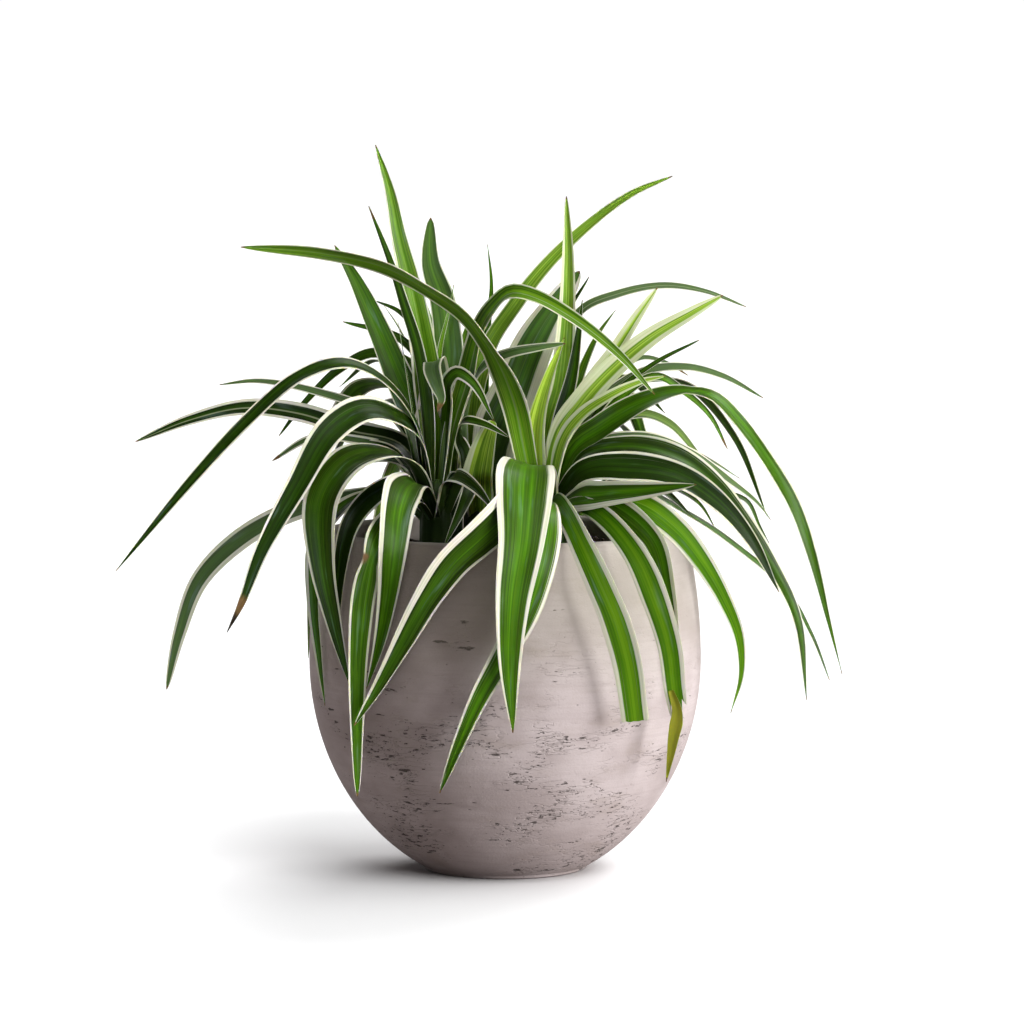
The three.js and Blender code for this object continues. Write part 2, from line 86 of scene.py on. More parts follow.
@dataclass(frozen=True)
class Leaf:
    """One strap leaf.

    Args:
        name: What the leaf is called.
        width: Its greatest width, in millimetres.
        face: How far its upper face turns towards the front, at even shares from root to tip, in degrees.
        tone: Its kind of green, which for the darkest tones is partly painted shade and for the brightest
            partly painted light.
        cream: The share of each half that its cream margin takes, left and right.
        via: The places that its midrib passes after it leaves the crown, in millimetres.
        ends: The share of the grown length at which a cut leaf stops.
        free: True for a strip that hangs from another leaf and not from a crown.
        tip: How it ends.
        nick: The share of its length at which it has a dried tear, or None.
        point: How its sides run in to the tip. Less is blunter.
        fold: How deep its gutter is, as a share of its half width.
        midline: How pale its midrib is, from 0 to 1.
        wave: How much its edges wave, where 1 is usual.
        bare: The share of its length, from the root, over which its cream margin comes in.
    """

    name: str
    width: float
    face: tuple[float, ...]
    tone: Tone
    cream: tuple[float, float]
    via: tuple[Point, ...]
    ends: float = 1.0
    free: bool = False
    tip: Tip = Tip.FINE
    nick: float | None = None
    point: float = 0.75
    fold: float = 0.2
    midline: float = 0.0
    wave: float = 1.0
    bare: float = 0.25


LEFT_LEAVES = (
    Leaf("long_arch", 12, (25, 28, 12, 35, 50), Tone.DARK, (0.2, 0.2), bare=0.4, via=(
        (-45, -20, 228), (-60, -30, 250), (-80, -42, 260), (-102, -55, 254), (-126, -66, 234),
        (-155, -76, 203), (-191, -84, 160))),
    Leaf("broad_arch", 17.5, (25, 30, 38, 45), Tone.DARK, (0.24, 0.16), tip=Tip.BLACK, bare=0.4, via=(
        (-43, -22, 221), (-53, -32, 232), (-70, -45, 237), (-87, -58, 227), (-103, -68, 200),
        (-120, -74, 169), (-130, -76, 143), (-137, -77, 129))),
    Leaf("broad_drape", 24, (25, 40), Tone.DEEP, (0.16, 0.2), via=(
        (-47, -24, 207), (-60, -38, 215), (-78, -55, 211), (-90, -66, 194), (-90, -72, 164),
        (-84, -75, 133), (-77, -76, 104))),
    Leaf("inner_drape", 13, (30, 50), Tone.DARK, (0.16, 0.16), via=(
        (-50, -22, 199), (-65, -38, 194), (-77, -52, 180), (-82, -58, 158), (-84, -60, 123))),
    Leaf("far_drape", 11, (30, 60, 80), Tone.GREEN, (0.45, 0.2), via=(
        (-56, -10, 193), (-78, -25, 190), (-94, -38, 171), (-96, -42, 142), (-93, -46, 112),
        (-90, -48, 89))),
    Leaf("front_drape", 20, (20, 35), Tone.GREEN, (0.34, 0.18), via=(
        (-43, -30, 198), (-49, -52, 200), (-53, -74, 191), (-55, -85, 173), (-58, -87, 146),
        (-62, -87, 124), (-68, -85, 102))),
    Leaf("torn_drape", 14, (25, 45), Tone.GREEN, (0.2, 0.2), nick=0.44, point=0.5, via=(
        (-45, -30, 191), (-54, -62, 186), (-63, -85, 174), (-69, -88, 151), (-72, -87, 121),
        (-73, -82, 86), (-73, -74, 47))),
    Leaf("low_sweep", 14, (70, 80, 95, 110, 120), Tone.PALE, (0.3, 0.45), point=0.5, bare=0.45, via=(
        (-53, -5, 190), (-84, 8, 188), (-110, 12, 181), (-136, 8, 167), (-156, 0, 147), (-166, -8, 120),
        (-172, -14, 93))),
    Leaf("back_sweep", 13, (45, 60, 75, 85, 90), Tone.DARK, (0.3, 0.3), point=0.55, fold=0.4,
         midline=0.8, bare=0.45, via=(
        (-51, 5, 215), (-80, 18, 223), (-105, 24, 231), (-134, 26, 234), (-162, 24, 228), (-190, 20, 217))),
    Leaf("pale_slip", 9, (20, 60), Tone.PALE, (0.4, 0.4), tip=Tip.BROWN, point=0.5, via=(
        (-54, 2, 211), (-79, 8, 219), (-100, 10, 219), (-119, 8, 208))),
    Leaf("short_slip", 6, (20, 60), Tone.CREAM, (0.5, 0.5), via=(
        (-54, 10, 207), (-67, 14, 213), (-81, 16, 209))),
    Leaf("sage_slip", 17, (20, 35), Tone.SAGE, (0.1, 0.25), point=0.5, bare=0.5, via=(
        (-46, 0, 204), (-57, 4, 209), (-70, 5, 208), (-83, 4, 199))),
    Leaf("slim_sweep", 7, (35, 50, 85), Tone.PALE, (0.25, 0.25), point=0.55, via=(
        (-48, 5, 229), (-67, 14, 234), (-87, 20, 240), (-111, 24, 246), (-129, 26, 248), (-147, 26, 246))),
    Leaf("dark_upright", 17, (50, 62), Tone.GREEN, (0.08, 0.08), point=0.6, bare=0.7, via=(
        (-43, -6, 225), (-54, 0, 251), (-66, 6, 279), (-76, 10, 300), (-87, 12, 318))),
    Leaf("tall", 15, (45, 45), Tone.LIT, (0.1, 0.22), point=0.65, fold=0.3, midline=0.15, bare=0.6, via=(
        (-38, -6, 230), (-41, 2, 260), (-47, 8, 293), (-54, 12, 321), (-59, 14, 346), (-66, 14, 369))),
    Leaf("tall_slim", 9, (-62, -75), Tone.GREEN, (0.1, 0.1), tip=Tip.BROWN, point=0.6, bare=0.6, via=(
        (-39, -12, 230), (-44, -8, 265), (-51, -6, 288), (-58, -4, 310), (-69, -2, 338))),
    Leaf("tall_broad", 19, (10, 10), Tone.SAGE, (0.1, 0.08), point=0.48, bare=0.7, via=(
        (-34.5, 2, 230), (-29, 10, 262), (-32, 14, 290), (-38, 16, 309), (-38, 17, 332))),
    Leaf("right_blade", 5, (45, 45), Tone.LIT, (0.12, 0.12), bare=0.6, via=(
        (-35, -4, 225), (-34.5, 3, 246), (-33, 4, 266), (-29, 5, 283), (-26, 6, 298))),
    Leaf("sliver", 4, (25, 25), Tone.DEEP, (0.1, 0.1), bare=0.8, via=(
        (-46, -18, 230), (-50, -18, 256), (-54, -16, 281))),
    Leaf("over_arch", 12, (75, 80, 80, 60, 25, 40, 60), Tone.LIT, (0.16, 0.16), point=0.6, fold=0.5,
         midline=0.5, bare=0.55, via=(
        (-27, -11, 222), (-19, -8, 250), (-12.5, -18, 275), (-5, -32, 288), (3, -40, 295), (15, -46, 293),
        (37, -58, 281), (58, -66, 264), (74, -70, 246))),
    Leaf("bent_tip", 22, (-10, -10, 20, 0, -25), Tone.PALE, (0.16, 0.2), tip=Tip.BROWN, point=0.7,
         bare=0.6, via=(
        (-37, -6, 222), (-35.5, -4, 240), (-35, -7, 254), (-35.5, -13, 260), (-36.5, -17.5, 256.5),
        (-34.5, -20, 249), (-32, -22, 241), (-34, -23, 235))),
    Leaf("curl_over", 13, (30, 60, 80, 65), Tone.GREEN, (0.3, 0.3), bare=0.5, via=(
        (-31, -9, 219), (-29.5, -10, 237), (-29, -14, 249), (-24, -18.5, 254.5), (-17.5, -21, 251),
        (-12.5, -23, 244.5), (-9, -25, 237.5), (-5.5, -26, 230.5))),
    Leaf("front_right", 12, (25, 30), Tone.DEEP, (0.3, 0.2), via=(
        (-28, -30, 201), (-22.5, -44, 203.5), (-13.5, -56, 198), (-5, -64, 188))),
    Leaf("small_hang", 11, (5, 10), Tone.DEEP, (0.16, 0.16), bare=0.4, via=(
        (-23.5, -26, 201.5), (-17.5, -44, 200), (-20.5, -58, 191), (-30, -70, 171))),
)

RIGHT_LEAVES = (
    Leaf("cross_left", 16, (85, 88, 150, 150, 130, 95), Tone.LIT, (0.14, 0.16), point=0.6,
         midline=0.3, bare=0.3, via=(
        (9, -30, 219), (5, -37, 239), (-2, -43, 258), (-11, -47, 273), (-21, -47, 285), (-37, -45, 296),
        (-60, -40, 308), (-92, -38, 315), (-132, -36, 318))),
    Leaf("centre_fall", 29, (10, 15), Tone.GREEN, (0.26, 0.22), fold=0.14, via=(
        (17, -40, 202), (12, -60, 211), (10, -84, 206), (8, -107, 177), (4, -114, 149), (2.5, -113, 119),
        (4, -107, 83))),
    Leaf("left_fall", 24, (25, 5), Tone.DEEP, (0.44, 0.14), fold=0.12, via=(
        (6, -60, 190.5), (1, -84, 191), (-4, -97, 186), (-13, -104, 178), (-25.5, -107, 166.5),
        (-38, -103, 148.5), (-50, -96, 126.5), (-62, -89, 104), (-74, -86, 84))),
    Leaf("under_fall", 17.5, (0, -30, -45, -55), Tone.GREEN, (0.28, 0.2), point=0.65, fold=0.12, via=(
        (20, -60, 195), (20.5, -88, 188), (17.5, -103, 167), (10.5, -107, 144), (-1, -108, 121),
        (-12, -106, 101), (-22, -101, 78), (-32, -90, 51))),
    Leaf("cut_fall", 16, (20, 0), Tone.FRESH, (0.3, 0.36), ends=0.5, tip=Tip.CUT, fold=0.06, via=(
        (25, -56, 192), (30, -77, 188), (38, -95, 173), (46, -103, 156), (54, -104, 137), (60, -101, 115),
        (64, -95, 87))),
    Leaf("right_fall", 14, (30, 15), Tone.FRESH, (0.26, 0.34), ends=0.6, tip=Tip.TORN, fold=0.06, via=(
        (35, -50, 190), (50, -76, 185), (65, -91, 167), (74, -91, 146), (81, -87, 123), (84, -82, 100),
        (87, -78, 86))),
    Leaf("dry_strip", 6.5, (20, 25), Tone.DRY, (0.05, 0.05), free=True, tip=Tip.BROWN, via=(
        (82, -82, 101), (85, -80, 90), (83, -78, 75), (80, -72, 54))),
    Leaf("shade_fall", 13, (40, 50), Tone.GREEN, (0.14, 0.42), via=(
        (43, -45, 192), (58, -60, 188), (74, -69, 173), (80, -71, 150), (84, -68, 124), (88, -62, 88))),
    Leaf("right_broad", 14, (35, 50), Tone.FRESH, (0.22, 0.3), point=0.9, fold=0.1, via=(
        (43, -42, 192), (67, -58, 191), (85, -66, 179), (98, -70, 163), (109, -72, 144), (116, -72, 126),
        (117, -71, 107), (112, -69, 88))),
    Leaf("front_flat", 18, (30, 45), Tone.GREEN, (0.42, 0.3), fold=0.1, via=(
        (33, -46, 192), (47, -66, 196), (71, -86, 200), (93, -102, 204))),
    Leaf("long_right", 16, (60, 80, 2, 25, 60, 70), Tone.GREEN, (0.1, 0.22), point=1.05, bare=0.6, via=(
        (33, -28, 216), (48, -34, 228), (68, -40, 240), (88, -46, 246), (103, -50, 244), (115.5, -52, 232.5),
        (129.5, -55, 214), (143.5, -57, 191), (152.5, -58, 166), (161, -58, 133), (168, -57, 106))),
    Leaf("droop_long", 16, (30, 45), Tone.DEEP, (0.16, 0.2), wave=1.8, bare=0.4, via=(
        (38, -24, 212), (60, -26, 218), (86, -28, 213), (106, -30, 198), (122, -32, 177), (136, -33, 155),
        (147, -34, 131), (152, -34, 90))),
    Leaf("droop_dark", 17, (40, 45), Tone.DARK, (0.16, 0.16), wave=2.2, bare=0.4, via=(
        (38, -36, 205), (63, -42, 208), (87, -46, 204), (107, -48, 191), (123, -49, 172), (137, -48, 146))),
    Leaf("top_pale", 12, (30, 35, 60), Tone.PALE, (0.24, 0.24), wave=2.2, bare=0.45, via=(
        (43, -12, 215), (69, -8, 221), (94, -6, 213), (114, -6, 199), (128, -7, 188), (135, -8, 179))),
    Leaf("top_thin", 9, (20, 25, 60), Tone.PALE, (0.35, 0.35), via=(
        (48, 0, 217), (74, 6, 220), (100, 8, 211), (120, 8, 199))),
    Leaf("side_dark", 9, (45, 60, 80), Tone.DEEP, (0.12, 0.12), via=(
        (69, 5, 204), (100, 10, 193), (123, 8, 188), (130, 4, 175), (135, 2, 166))),
    Leaf("thin_far", 7, (45, 95), Tone.DEEP, (0.15, 0.15), point=0.6, via=(
        (59, 0, 196), (95, 6, 180), (120, 6, 163), (143, 4, 143), (157, 2, 119), (166, 0, 96))),
    Leaf("small_right", 7, (40, 60, 90), Tone.DEEP, (0.12, 0.12), via=(
        (69, 12, 198), (98, 16, 187), (109, 15, 171))),
    Leaf("mid_shade", 12, (30, 40), Tone.DEEP, (0.15, 0.15), wave=2, via=(
        (53, -22, 198), (78, -30, 196), (94, -36, 183))),
    Leaf("bright_short", 12, (40, 40), Tone.BRIGHT, (0.3, 0.1), fold=0.45, bare=0.4, via=(
        (16, -24, 226), (21, -20, 248), (30, -16, 272))),
    Leaf("bright_tall", 12, (40, 40), Tone.PALE_GREEN, (0.3, 0.4), point=0.55, fold=0.5, bare=0.4, via=(
        (22, -18, 225), (28, -16, 248), (31, -14, 276), (32, -12, 311), (31, -10, 343))),
    Leaf("dark_slim", 11, (45, 45), Tone.DEEP, (0.12, 0.12), bare=0.5, via=(
        (28, -22, 228), (34, -20, 253), (37, -18, 273), (39, -17, 291))),
    Leaf("pale_up", 11, (45, 75), Tone.CREAM, (0.72, 0.75), point=0.5, bare=0.45, via=(
        (30, -20, 226), (43, -18, 248), (56, -16, 266), (67, -14, 283), (77, -12, 297))),
    Leaf("cream_right", 14, (60, 85), Tone.CREAM, (0.5, 0.66), point=0.5, bare=0.45, via=(
        (27, -28, 221), (38, -30, 239), (53, -32, 256), (73, -34, 273), (93, -36, 285), (109, -36, 294))),
    Leaf("bright_low", 9, (45, 75), Tone.CREAM, (0.4, 0.5), point=0.6, bare=0.5, via=(
        (29, -34, 221), (38, -38, 234), (52, -42, 244), (67, -44, 251), (80, -45, 254))),
    Leaf("thin_line", 4, (20, 60), Tone.DEEP, (0.05, 0.05), point=0.4, via=(
        (48, -5, 235), (74, 0, 257), (99, 4, 270))),
    Leaf("grey_arch", 7, (35, 50, 75), Tone.PALE, (0.18, 0.18), point=0.5, via=(
        (43, -2, 232), (69, 6, 253), (92, 10, 256), (112, 12, 251), (132, 12, 240))),
    Leaf("grey_short", 5, (25, 60), Tone.PALE, (0.15, 0.15), tip=Tip.BROWN, point=0.5, via=(
        (49, 15, 244), (69, 20, 260), (82, 22, 258), (94, 22, 251))),
    Leaf("thin_drop", 6, (40, 60, 80), Tone.GREEN, (0.12, 0.12), tip=Tip.BROWN, point=0.5, via=(
        (53, -10, 235), (76, -8, 252), (91, -6, 244), (104, -6, 232), (113, -6, 215))),
    Leaf("olive", 8, (35, 50, 80), Tone.OLIVE, (0.1, 0.1), point=0.6, via=(
        (48, 5, 224), (69, 10, 232), (84, 12, 227), (97, 12, 213), (107, 10, 198))),
)

MIDDLE_LEAVES = (
    Leaf("tall_right", 10, (50, 70), Tone.PALE_GREEN, (0.14, 0.14), point=0.55, bare=0.6, via=(
        (-15, 24, 238), (-8, 26, 266), (4, 28, 285), (21, 30, 307), (43, 32, 328), (65, 32, 344),
        (86, 32, 353))),
    Leaf("broad_dark", 29, (75, 95), Tone.SAGE, (0.5, 0.26), point=0.5, bare=0.35, via=(
        (-4, 16, 218), (5, 12, 241), (15, 9, 267), (27, 7, 288), (38, 6, 305))),
    Leaf("small_up", 6, (20, 20), Tone.GREEN, (0.1, 0.1), via=(
        (-11, 30, 238), (-9, 32, 274), (-7, 32, 297), (-9, 30, 318))),
    Leaf("flat_tip", 11, (12, 20, 50, 75), Tone.PALE, (0.25, 0.25), point=0.5, bare=0.8, via=(
        (-20.5, 8, 219), (-18, 0, 239.5), (-10.5, -14, 257.5), (1.5, -22, 264), (17.5, -26, 267.5),
        (30.5, -28, 269.5))),
    Leaf("round_curl", 12, (10, 20, 40, 60), Tone.DEEP, (0.24, 0.24), bare=0.6, via=(
        (-20, 6, 212), (-23.5, 0, 221), (-21, -6, 229), (-10.5, -12, 228), (2.5, -17, 221.5))),
    Leaf("young_bright", 18, (140, 152), Tone.BRIGHT, (0.1, 0.4), point=0.4, bare=0.3, via=(
        (-14, -3, 200), (-12.5, -6, 209), (-10, -8, 219), (-6, -10, 230))),
)

BACK_LEFT_LEAVES = (
    Leaf("far_bend", 8, (30, 60, 90), Tone.DEEP, (0.1, 0.1), point=0.55, via=(
        (-44, 30, 251), (-67, 34, 262), (-85, 36, 254), (-103, 36, 237), (-117, 34, 219))),
    Leaf("dart", 6, (40, 80), Tone.DEEP, (0.08, 0.08), point=0.5, via=(
        (-39, 30, 264), (-54, 32, 283), (-67, 34, 289))),
    Leaf("dark_dart", 7, (40, 80), Tone.DEEP, (0.08, 0.08), point=0.5, via=(
        (-39, 34, 248), (-54, 38, 269), (-84, 40, 278))),
)

BACK_RIGHT_LEAVES = (
    Leaf("right_arch", 7, (35, 50, 70), Tone.PALE, (0.15, 0.15), point=0.5, midline=0.6, via=(
        (28, 22, 249), (38, 24, 283), (59, 26, 293), (82, 28, 297), (103, 28, 294), (124, 28, 286))),
    Leaf("tip_right", 6, (60, 90), Tone.DEEP, (0.1, 0.1), point=0.5, via=(
        (29, 16, 275), (43, 14, 302))),
)


@dataclass(frozen=True)
class Habit:
    """How a hidden leaf grows.

    Args:
        reach: How far it goes from its rosette's middle, in millimetres.
        width: Its greatest width, in millimetres.
        rise: Its heights at shares of the reach, in millimetres.
        tone: Its kind of green, which for the darkest tones is partly painted shade and for the brightest
            partly painted light.
    """

    reach: float
    width: float
    rise: tuple[tuple[float, float], ...]
    tone: Tone


HABITS = (
    Habit(114, 14, ((0.12, 214), (0.34, 240), (0.6, 240), (0.84, 210), (1, 166)), Tone.GREEN),
    Habit(42, 12, ((0.2, 220), (0.45, 248), (0.72, 268), (1, 280)), Tone.LIT),
    Habit(80, 17, ((0.18, 200), (0.46, 212), (0.76, 190), (0.95, 142), (1, 96)), Tone.LIT),
    Habit(92, 11, ((0.14, 218), (0.36, 244), (0.66, 250), (1, 232)), Tone.DEEP),
    Habit(92, 15, ((0.16, 208), (0.42, 230), (0.74, 214), (0.94, 168), (1, 124)), Tone.GREEN),
)


def draws(seed: int) -> Callable[[float], float]:
    """Makes a source of even random numbers that come out the same each time.

    Args:
        seed: Where the series starts.

    Returns:
        A function that gives a number from minus to plus the amount that it is asked for.
    """
    state = seed

    def vary(amount: float) -> float:
        """Gives the next number.

        Args:
            amount: The furthest that it may be from 0.

        Returns:
            The number.
        """
        nonlocal state
        state = state * 16807 % 2147483647
        return amount * (2 * state / 2147483647 - 1)

    return vary


@dataclass(frozen=True)
class Fan:
    """The hidden leaves of a back rosette, which take turns through the habits round a fan.

    Args:
        first: The direction of the fan's first edge, in degrees.
        last: The direction of its last edge.
        count: How many leaves it has.
        seed: Where its random draws start.
        turn: How far a leaf may stray from its even place, as a share of the space between two.
        reach: How much the reach of its leaves varies, as a share.
        height: How much the height of their ends varies, in millimetres.
        width: How much their width varies, as a share.
        face: How far their faces may turn, in degrees.
        cream: The shares of both halves that their cream margins take.
    """

    first: float
    last: float
    count: int
    seed: int
    turn: float = 0.5
    reach: float = 0.16
    height: float = 9.0
    width: float = 0.16
    face: float = 18.0
    cream: tuple[float, float] = (0.17, 0.17)

    def leaves(self, centre: tuple[float, float]) -> list[Leaf]:
        """Grows the fan's leaves.

        Args:
            centre: The middle of the rosette, in millimetres.

        Returns:
            One leaf for each place in the fan.
        """
        vary = draws(self.seed)
        grown = []
        for i in range(self.count):
            habit = HABITS[i % len(HABITS)]
            share = (i + 0.5 + vary(self.turn)) / self.count
            angle = math.radians(self.first + (self.last - self.first) * share)
            reach = habit.reach * (1 + vary(self.reach))
            lift = vary(self.height)
            via = tuple(
                (
                    centre[0] + reach * out * math.cos(angle),
                    centre[1] + reach * out * math.sin(angle),
                    height + lift * out,
                )
                for out, height in habit.rise
            )
            turn = vary(self.face)
            width = habit.width * (1 + vary(self.width))
            grown.append(Leaf(f"hidden_{i}", width, (turn, 2 * turn), habit.tone, self.cream, via))
        return grown


# ---- Shader graphs ----


class Graph:
    """A small helper that adds nodes to a material or a world and links them.

    Args:
        tree: The node tree to fill, which is cleared first.
    """

    def __init__(self, tree: bpy.types.NodeTree) -> None:
        """Clears the tree."""
        self.tree = tree
        tree.nodes.clear()

    def add(self, kind: str, inputs: dict | None = None, **settings: object) -> bpy.types.Node:
        """Adds a node.

        Args:
            kind: The node's type without its ShaderNode prefix.
            inputs: What goes into its sockets, by name or number: a socket, a number or a colour.
            settings: Properties to set on it first.

        Returns:
            The node.
        """
        node = self.tree.nodes.new("ShaderNode" + kind)
        for name, value in settings.items():
            setattr(node, name, value)
        for name, value in (inputs or {}).items():
            if isinstance(value, bpy.types.NodeSocket):
                self.tree.links.new(value, node.inputs[name])
            else:
                node.inputs[name].default_value = value
        return node

    def attribute(self, name: str) -> bpy.types.Node:
        """Splits a vector attribute of the mesh into its three numbers."""
        source = self.add("Attribute", attribute_name=name)
        return self.add("SeparateXYZ", {0: source.outputs["Vector"]})

    def maths(self, operation: str, *values: object) -> bpy.types.NodeSocket:
        """Gives the result of a sum on sockets and numbers."""
        node = self.add("Math", dict(enumerate(values)), operation=operation)
        return node.outputs[0]

    def vector(self, x: object, y: object, z: object) -> bpy.types.NodeSocket:
        """Joins three numbers into a vector."""
        return self.add("CombineXYZ", {0: x, 1: y, 2: z}).outputs[0]

    def noise(
        self, place: object, scale: float, detail: float = 2.0, rough: float = 0.5
    ) -> bpy.types.NodeSocket:
        """Gives smooth noise from 0 to 1 at a place."""
        inputs = {"Vector": place, "Scale": scale, "Detail": detail, "Roughness": rough}
        return self.add("TexNoise", inputs).outputs[0]

    def ease(
        self, value: object, low: object, high: object, start: float = 0.0, end: float = 1.0
    ) -> bpy.types.NodeSocket:
        """Eases a value from start to end while it goes from low to high."""
        inputs = {0: value, 1: low, 2: high, 3: start, 4: end}
        return self.add("MapRange", inputs, interpolation_type="SMOOTHSTEP").outputs[0]

    def mix(self, share: object, first: object, second: object) -> bpy.types.NodeSocket:
        """Mixes two colours."""
        node = self.add("Mix", {0: share, 6: first, 7: second}, data_type="RGBA")
        return node.outputs[2]

    def ramp(
        self, value: object, stops: Sequence[tuple[float, tuple[float, ...]]]
    ) -> bpy.types.NodeSocket:
        """Looks a value up in a row of colours.

        Args:
            value: The number to look up.
            stops: Pairs of a place from 0 to 1 and a colour.

        Returns:
            The colour's socket.
        """
        node = self.add("ValToRGB", {0: value})
        row = node.color_ramp.elements
        while len(row) < len(stops):
            row.new(0.5)
        for element, (place, colour) in zip(row, stops):
            element.position = place
            element.color = (*colour, 1.0)
        return node.outputs[0]


def material(name: str) -> tuple[bpy.types.Material, Graph]:
    """Makes a node material.

    Args:
        name: What it is called.

    Returns:
        The material, still empty, and the helper that fills it.
    """
    made = bpy.data.materials.new(name)
    made.use_nodes = True
    return made, Graph(made.node_tree)


@dataclass(frozen=True)
class LeafFinish:
    """Satin leaf: streaked green with fine ribs, cream margins and dried ends, with a painted bluish sheen.

    The mesh gives three vectors at each point. leaf_place holds the share across, from -1 to 1, the
    millimetres across where the leaf is widest, and the millimetres along. leaf_look holds the tone,
    made darker and less yellow near the root as painted shade.
    leaf_state holds the cream margin's share, how dead the leaf is there, and a number of its own.
    leaf_side holds 1 on the lower face, how pale the midrib is, and 1 for straw.

    Args:
        deep: The darkest green.
        middle: The next one.
        light: The next.
        lively: The lightest green.
        yellow: What yellow tones are mixed with.
        grey: What grey tones are mixed with.
        cream: The margins.
        cream_shade: The margins' duller streaks and the midrib.
        dead: The brown of dried ends.
        straw: A leaf that is dried all over.
        painted_sheen: A painted bluish sheen in faint streaks, standing in for the reflection of a bluish
            light.
        black: The blackest ends.
        rib_depth: How deep the fine ribs are, in metres.
    """

    deep: Point = (0.009, 0.024, 0.0005)
    middle: Point = (0.022, 0.07, 0.001)
    light: Point = (0.055, 0.18, 0.001)
    lively: Point = (0.13, 0.31, 0.003)
    yellow: Point = (0.52, 0.70, 0.08)
    grey: Point = (0.08, 0.12, 0.055)
    cream: Point = (0.71, 0.68, 0.60)
    cream_shade: Point = (0.42, 0.46, 0.27)
    dead: Point = (0.15, 0.085, 0.035)
    straw: Point = (0.24, 0.24, 0.02)
    painted_sheen: Point = (0.24, 0.34, 0.33)
    black: Point = (0.018, 0.012, 0.008)
    rib_depth: float = 0.00012

    def build(self) -> bpy.types.Material:
        """Builds the material.

        Returns:
            The leaf material.
        """
        made, g = material("leaf")
        place = g.attribute("leaf_place")
        look = g.attribute("leaf_look")
        state = g.attribute("leaf_state")
        side = g.attribute("leaf_side")
        across, veins, along = place.outputs
        light, yellow, grey = look.outputs
        cream, dead, seed = state.outputs
        under = side.outputs[0]
        outward = g.maths("ABSOLUTE", across)
        shift = g.maths("MULTIPLY", seed, 61.0)

        def streaks(wide: float, long: float, detail: float) -> bpy.types.NodeSocket:
            """Gives noise drawn out along the leaf, with cells this wide and long in millimetres."""
            spot = g.vector(
                g.maths("DIVIDE", veins, wide), g.maths("DIVIDE", along, long), shift
            )
            return g.noise(spot, 1.0, detail, 0.55)

        broad = streaks(2.6, 150.0, 1.0)
        fine = streaks(0.75, 90.0, 2.0)
        ribs = streaks(0.34, 200.0, 1.0)
        patches = streaks(9.0, 22.0, 2.0)

        level = g.maths("MULTIPLY_ADD", broad, 0.75, g.maths("MULTIPLY_ADD", fine, 0.5, -0.66))
        level = g.maths("ADD", level, g.maths("MULTIPLY", light, 0.74))
        level = g.maths("ADD", level, g.maths("MULTIPLY_ADD", patches, 0.3, -0.15))
        level = g.maths("ADD", level, g.ease(outward, 0.1, 0.75, 0.1, -0.14))
        green = g.ramp(
            g.maths("ADD", level, 0.2),
            ((0.0, self.deep), (0.33, self.middle), (0.66, self.light), (1.0, self.lively)),
        )
        sunny = g.maths("MULTIPLY", yellow, g.ease(fine, 0.4, 0.7, 0.12, 0.62))
        sunny = g.maths("MINIMUM", sunny, 0.92)
        green = g.mix(sunny, green, (*self.yellow, 1.0))
        green = g.mix(grey, green, (*self.grey, 1.0))
        # Painted reflection: faint bluish streaks stand in for the sheen of a bluish light on the leaf.
        painted_sheen = g.ease(streaks(4.5, 34.0, 2.0), 0.58, 0.8, 0.0, 0.24)
        green = g.mix(painted_sheen, green, (*self.painted_sheen, 1.0))
        midrib = g.maths("MULTIPLY", g.ease(outward, 0.0, 0.14, 0.8, 0.0), side.outputs[1])
        green = g.mix(midrib, green, (*self.cream_shade, 1.0))
        green = g.mix(side.outputs[2], green, (*self.straw, 1.0))

        waver = g.maths("MULTIPLY_ADD", streaks(1.4, 45.0, 3.0), 0.16, -0.08)
        reach = g.maths("ADD", outward, waver)
        inner = g.maths("SUBTRACT", 1.0, cream)
        margin = g.ease(reach, g.maths("SUBTRACT", inner, 0.035), g.maths("ADD", inner, 0.035))
        threads = g.ease(streaks(0.6, 130.0, 1.0), 0.66, 0.74)
        threads = g.maths("MULTIPLY", threads, g.ease(outward, 0.3, 0.85, 0.05, 0.75))
        margin = g.maths("MAXIMUM", margin, g.maths("MULTIPLY", threads, g.ease(cream, 0.05, 0.3)))
        margin = g.maths("MULTIPLY", margin, g.ease(cream, 0.0, 0.07))
        pale = g.mix(g.ease(fine, 0.35, 0.62, 0.55, 0.0), (*self.cream, 1.0), (*self.cream_shade, 1.0))
        ripe = g.maths("MINIMUM", g.maths("MULTIPLY", yellow, 0.17), 0.3)
        pale = g.mix(ripe, pale, (*self.yellow, 1.0))
        colour = g.mix(margin, green, pale)
        colour = g.mix(g.maths("MULTIPLY", under, 0.06), colour, (*self.grey, 1.0))

        rot = g.maths("ADD", dead, g.maths("MULTIPLY_ADD", patches, 0.5, -0.25))
        colour = g.mix(g.ease(rot, 0.3, 0.62), colour, (*self.dead, 1.0))
        colour = g.mix(g.ease(rot, 0.95, 1.25), colour, (*self.black, 1.0))

        rough = g.maths("MULTIPLY_ADD", fine, 0.16, 0.27)
        rough = g.maths("ADD", rough, g.maths("MULTIPLY", under, 0.12))
        rough = g.maths("ADD", rough, g.maths("MULTIPLY", g.ease(dead, 0.2, 0.7), 0.35))
        relief = g.maths("ADD", g.maths("MULTIPLY", ribs, 0.7), g.maths("MULTIPLY", broad, 0.5))
        bump = g.add("Bump", {"Strength": 0.55, "Distance": self.rib_depth, "Height": relief})
        shader = g.add("BsdfPrincipled", {
            "Base Color": colour,
            "Roughness": rough,
            "Normal": bump.outputs[0],
            "IOR": 1.45,
            "Specular IOR Level": 0.13,
            "Subsurface Weight": 0.35,
            "Subsurface Radius": (0.7, 1.0, 0.25),
            "Subsurface Scale": 0.0009,
        })
        g.add("OutputMaterial", {0: shader.outputs[0]})
        return made


